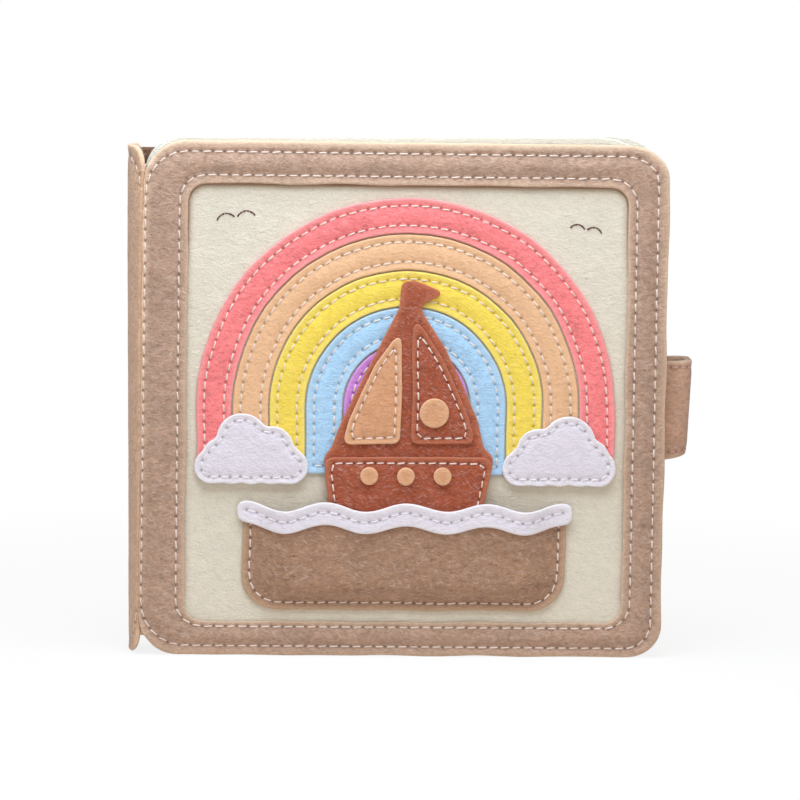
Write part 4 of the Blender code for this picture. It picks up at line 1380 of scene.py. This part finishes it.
def make_pocket_band():
    """Make the white band along the pocket's rim."""
    middle, _, _, rim, face = pocket_shapes()
    low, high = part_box("pocket_rim_band")
    reach = (high.x - low.x) / 2
    rise = high.z - rim(middle)
    width = high.z - low.z - 2 * RIM_WAVE_HEIGHT

    def along(shares, drop):
        """Return the line at a drop below the band's upper edge, at shares of its half length."""
        across = middle + shares * reach
        return np.column_stack((across, rim(across) + rise - drop))

    shares = np.linspace(-1, 1, BAND_STEPS)
    outline = np.vstack((along(-shares, 0), along(shares, width)))
    outline = softened(spaced(outline, EDGE_STEP), BAND_ROUNDS)
    shares = np.linspace(-BAND_SEAM_REACH, BAND_SEAM_REACH, BAND_STEPS)
    seam = Seam(along(shares, width * BAND_SEAM_SHARE), closed=False, pitch=PATCH_PITCH,
                thread="thread_pale", radius=FINE_THREAD)
    pieces = felt("pocket_rim_felt", [outline], POCKET_FELT,
                  lambda u, v, h: (u, face(u, v) - POCKET_FELT - LAYER_GAP - h, v), "white_felt", [seam],
                  roll=BAND_ROLL, wave=FELT_WAVE, step=BAND_STEP, back_step=BENT_BACK_STEP)
    settle(pieces, "front_cover", ["pocket_rim_band"])


def make_birds():
    """Embroider two small birds beside the rainbow, each of two wing arcs in brown thread."""
    window = cap_loops("front_cover_frame", -1)[1]
    middle = (window.min(0) + window.max(0)) / 2
    place = towards_front(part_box("front_cover_panel")[0].y)
    for number, (across, up, span, tilt) in enumerate(BIRDS):
        centre = middle + np.array((across, up))
        turn = Matrix.Rotation(radians(tilt), 2)
        for wing, (side, start, end) in BIRD_WINGS.items():
            arc = arc_points((side * span / 2, 0), span / BIRD_ARC_SHARE, start, end, BIRD_ARC_STEPS)
            line = np.array([turn @ Vector(point) for point in arc]) + centre
            seam = Seam(line, closed=False, pitch=BIRD_PITCH, thread="thread_brown", radius=BIRD_THREAD,
                        reach=BIRD_REACH)
            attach(sew(f"bird_{number + 1}_{wing}_wing", seam, place), "front_cover")


def seen_rays(tree):
    """Return 1 for rays from the camera, and for those that a surface mirrors or lets through."""
    rays = add_node(tree, "ShaderNodeLightPath").outputs
    seen = math_node(tree, "MAXIMUM", rays["Is Camera Ray"], rays["Is Glossy Ray"])
    return math_node(tree, "MAXIMUM", seen, rays["Is Transmission Ray"])


def mixed_output(tree, kind, share, first, second):
    """End a tree in a mix of two shaders."""
    mix = add_node(tree, "ShaderNodeMixShader")
    for number, value in enumerate((share, first, second)):
        node_input(tree, mix, number, value)
    tree.links.new(mix.outputs[0], add_node(tree, kind).inputs["Surface"])


def make_floor():
    """Make the pale floor, which looks whiter away from the book and keeps its shadow."""
    bpy.ops.mesh.primitive_grid_add(
        x_subdivisions=2, y_subdivisions=2, size=FLOOR_SIZE, location=(0, 0, FLOOR_DEPTH)
    )
    floor = bpy.context.object
    floor.name = "floor"
    material = bpy.data.materials.new("floor")
    material.use_nodes = True
    tree = material.node_tree
    tree.nodes.clear()
    camera_ray = add_node(tree, "ShaderNodeLightPath").outputs["Is Camera Ray"]
    paper = add_node(tree, "ShaderNodeBsdfDiffuse", Color=mixed(tree, camera_ray, FLOOR_GLOW, FLOOR_SEEN))
    white = add_node(tree, "ShaderNodeEmission", Color=WHITE, Strength=1.0)
    place = add_node(tree, "ShaderNodeTexCoord").outputs["Object"]
    far = stretched(tree, vector_node(tree, "LENGTH", place), *FLOOR_WHITE_REACH)
    share = math_node(tree, "MULTIPLY", far, 1 - FLOOR_WHITE_SHARE)
    share = math_node(tree, "ADD", FLOOR_WHITE_SHARE, share)
    share = math_node(tree, "MULTIPLY", seen_rays(tree), share)
    mixed_output(tree, "ShaderNodeOutputMaterial", share, paper.outputs[0], white.outputs[0])
    floor.data.materials.append(material)


def make_world():
    """Make the world: a warm soft sky, seen as white."""
    world = bpy.data.worlds.new("studio")
    bpy.context.scene.world = world
    world.use_nodes = True
    tree = world.node_tree
    tree.nodes.clear()
    sky = add_node(tree, "ShaderNodeBackground", Color=SKY_COLOUR, Strength=SKY_STRENGTH)
    backdrop = add_node(tree, "ShaderNodeBackground", Color=WHITE, Strength=1.0)
    mixed_output(tree, "ShaderNodeOutputWorld", seen_rays(tree), sky.outputs[0], backdrop.outputs[0])


def make_stage():
    """Make the floor, the world and the lamps."""
    make_floor()
    make_world()
    for name, (place, size, power, colour) in LAMPS.items():
        lamp(name, place, size, power, colour)
    bpy.context.scene.view_settings.view_transform = "Standard"


def lamp(name, place, size, power, colour):
    """Add a square soft lamp that looks at the book."""
    light = bpy.data.lights.new(name, "AREA")
    light.shape = "SQUARE"
    light.size = size
    light.energy = power
    light.color = colour
    holder = bpy.data.objects.new(name, light)
    holder.location = place
    direction = Vector(CAMERA_TARGET) - Vector(place)
    holder.rotation_euler = direction.to_track_quat("-Z", "Y").to_euler()
    bpy.context.scene.collection.objects.link(holder)


def make_camera():
    """Add the camera at the photograph's viewing angle."""
    azimuth = radians(CAMERA_AZIMUTH)
    elevation = radians(CAMERA_ELEVATION)
    back = Vector((sin(azimuth) * cos(elevation), -cos(azimuth) * cos(elevation), sin(elevation)))
    data = bpy.data.cameras.new("camera")
    data.sensor_width = CAMERA_SENSOR
    data.lens = CAMERA_DISTANCE / (METRES_PER_PIXEL * IMAGE_SIZE) * CAMERA_SENSOR
    camera = bpy.data.objects.new("camera", data)
    look = (-back).to_track_quat("-Z", "Y").to_matrix().to_4x4()
    roll = Matrix.Rotation(radians(CAMERA_ROLL), 4, "Z")
    camera.matrix_world = Matrix.Translation(Vector(CAMERA_TARGET) + back * CAMERA_DISTANCE) @ look @ roll
    bpy.context.scene.collection.objects.link(camera)
    bpy.context.scene.camera = camera


MATERIALS = {slot: felt_material(slot, *look) for slot, look in FELTS.items()}
MATERIALS.update({slot: thread_material(slot, colour) for slot, colour in THREADS.items()})

make_stage()
make_camera()
make_front_cover()
make_back_cover()
make_spine()
make_creases()
make_hinge_lining()
make_leaves()
make_strap()
make_fastener()
make_patches()
make_pocket()
make_pocket_band()
make_boat()
make_birds()
bpy.context.view_layer.update()
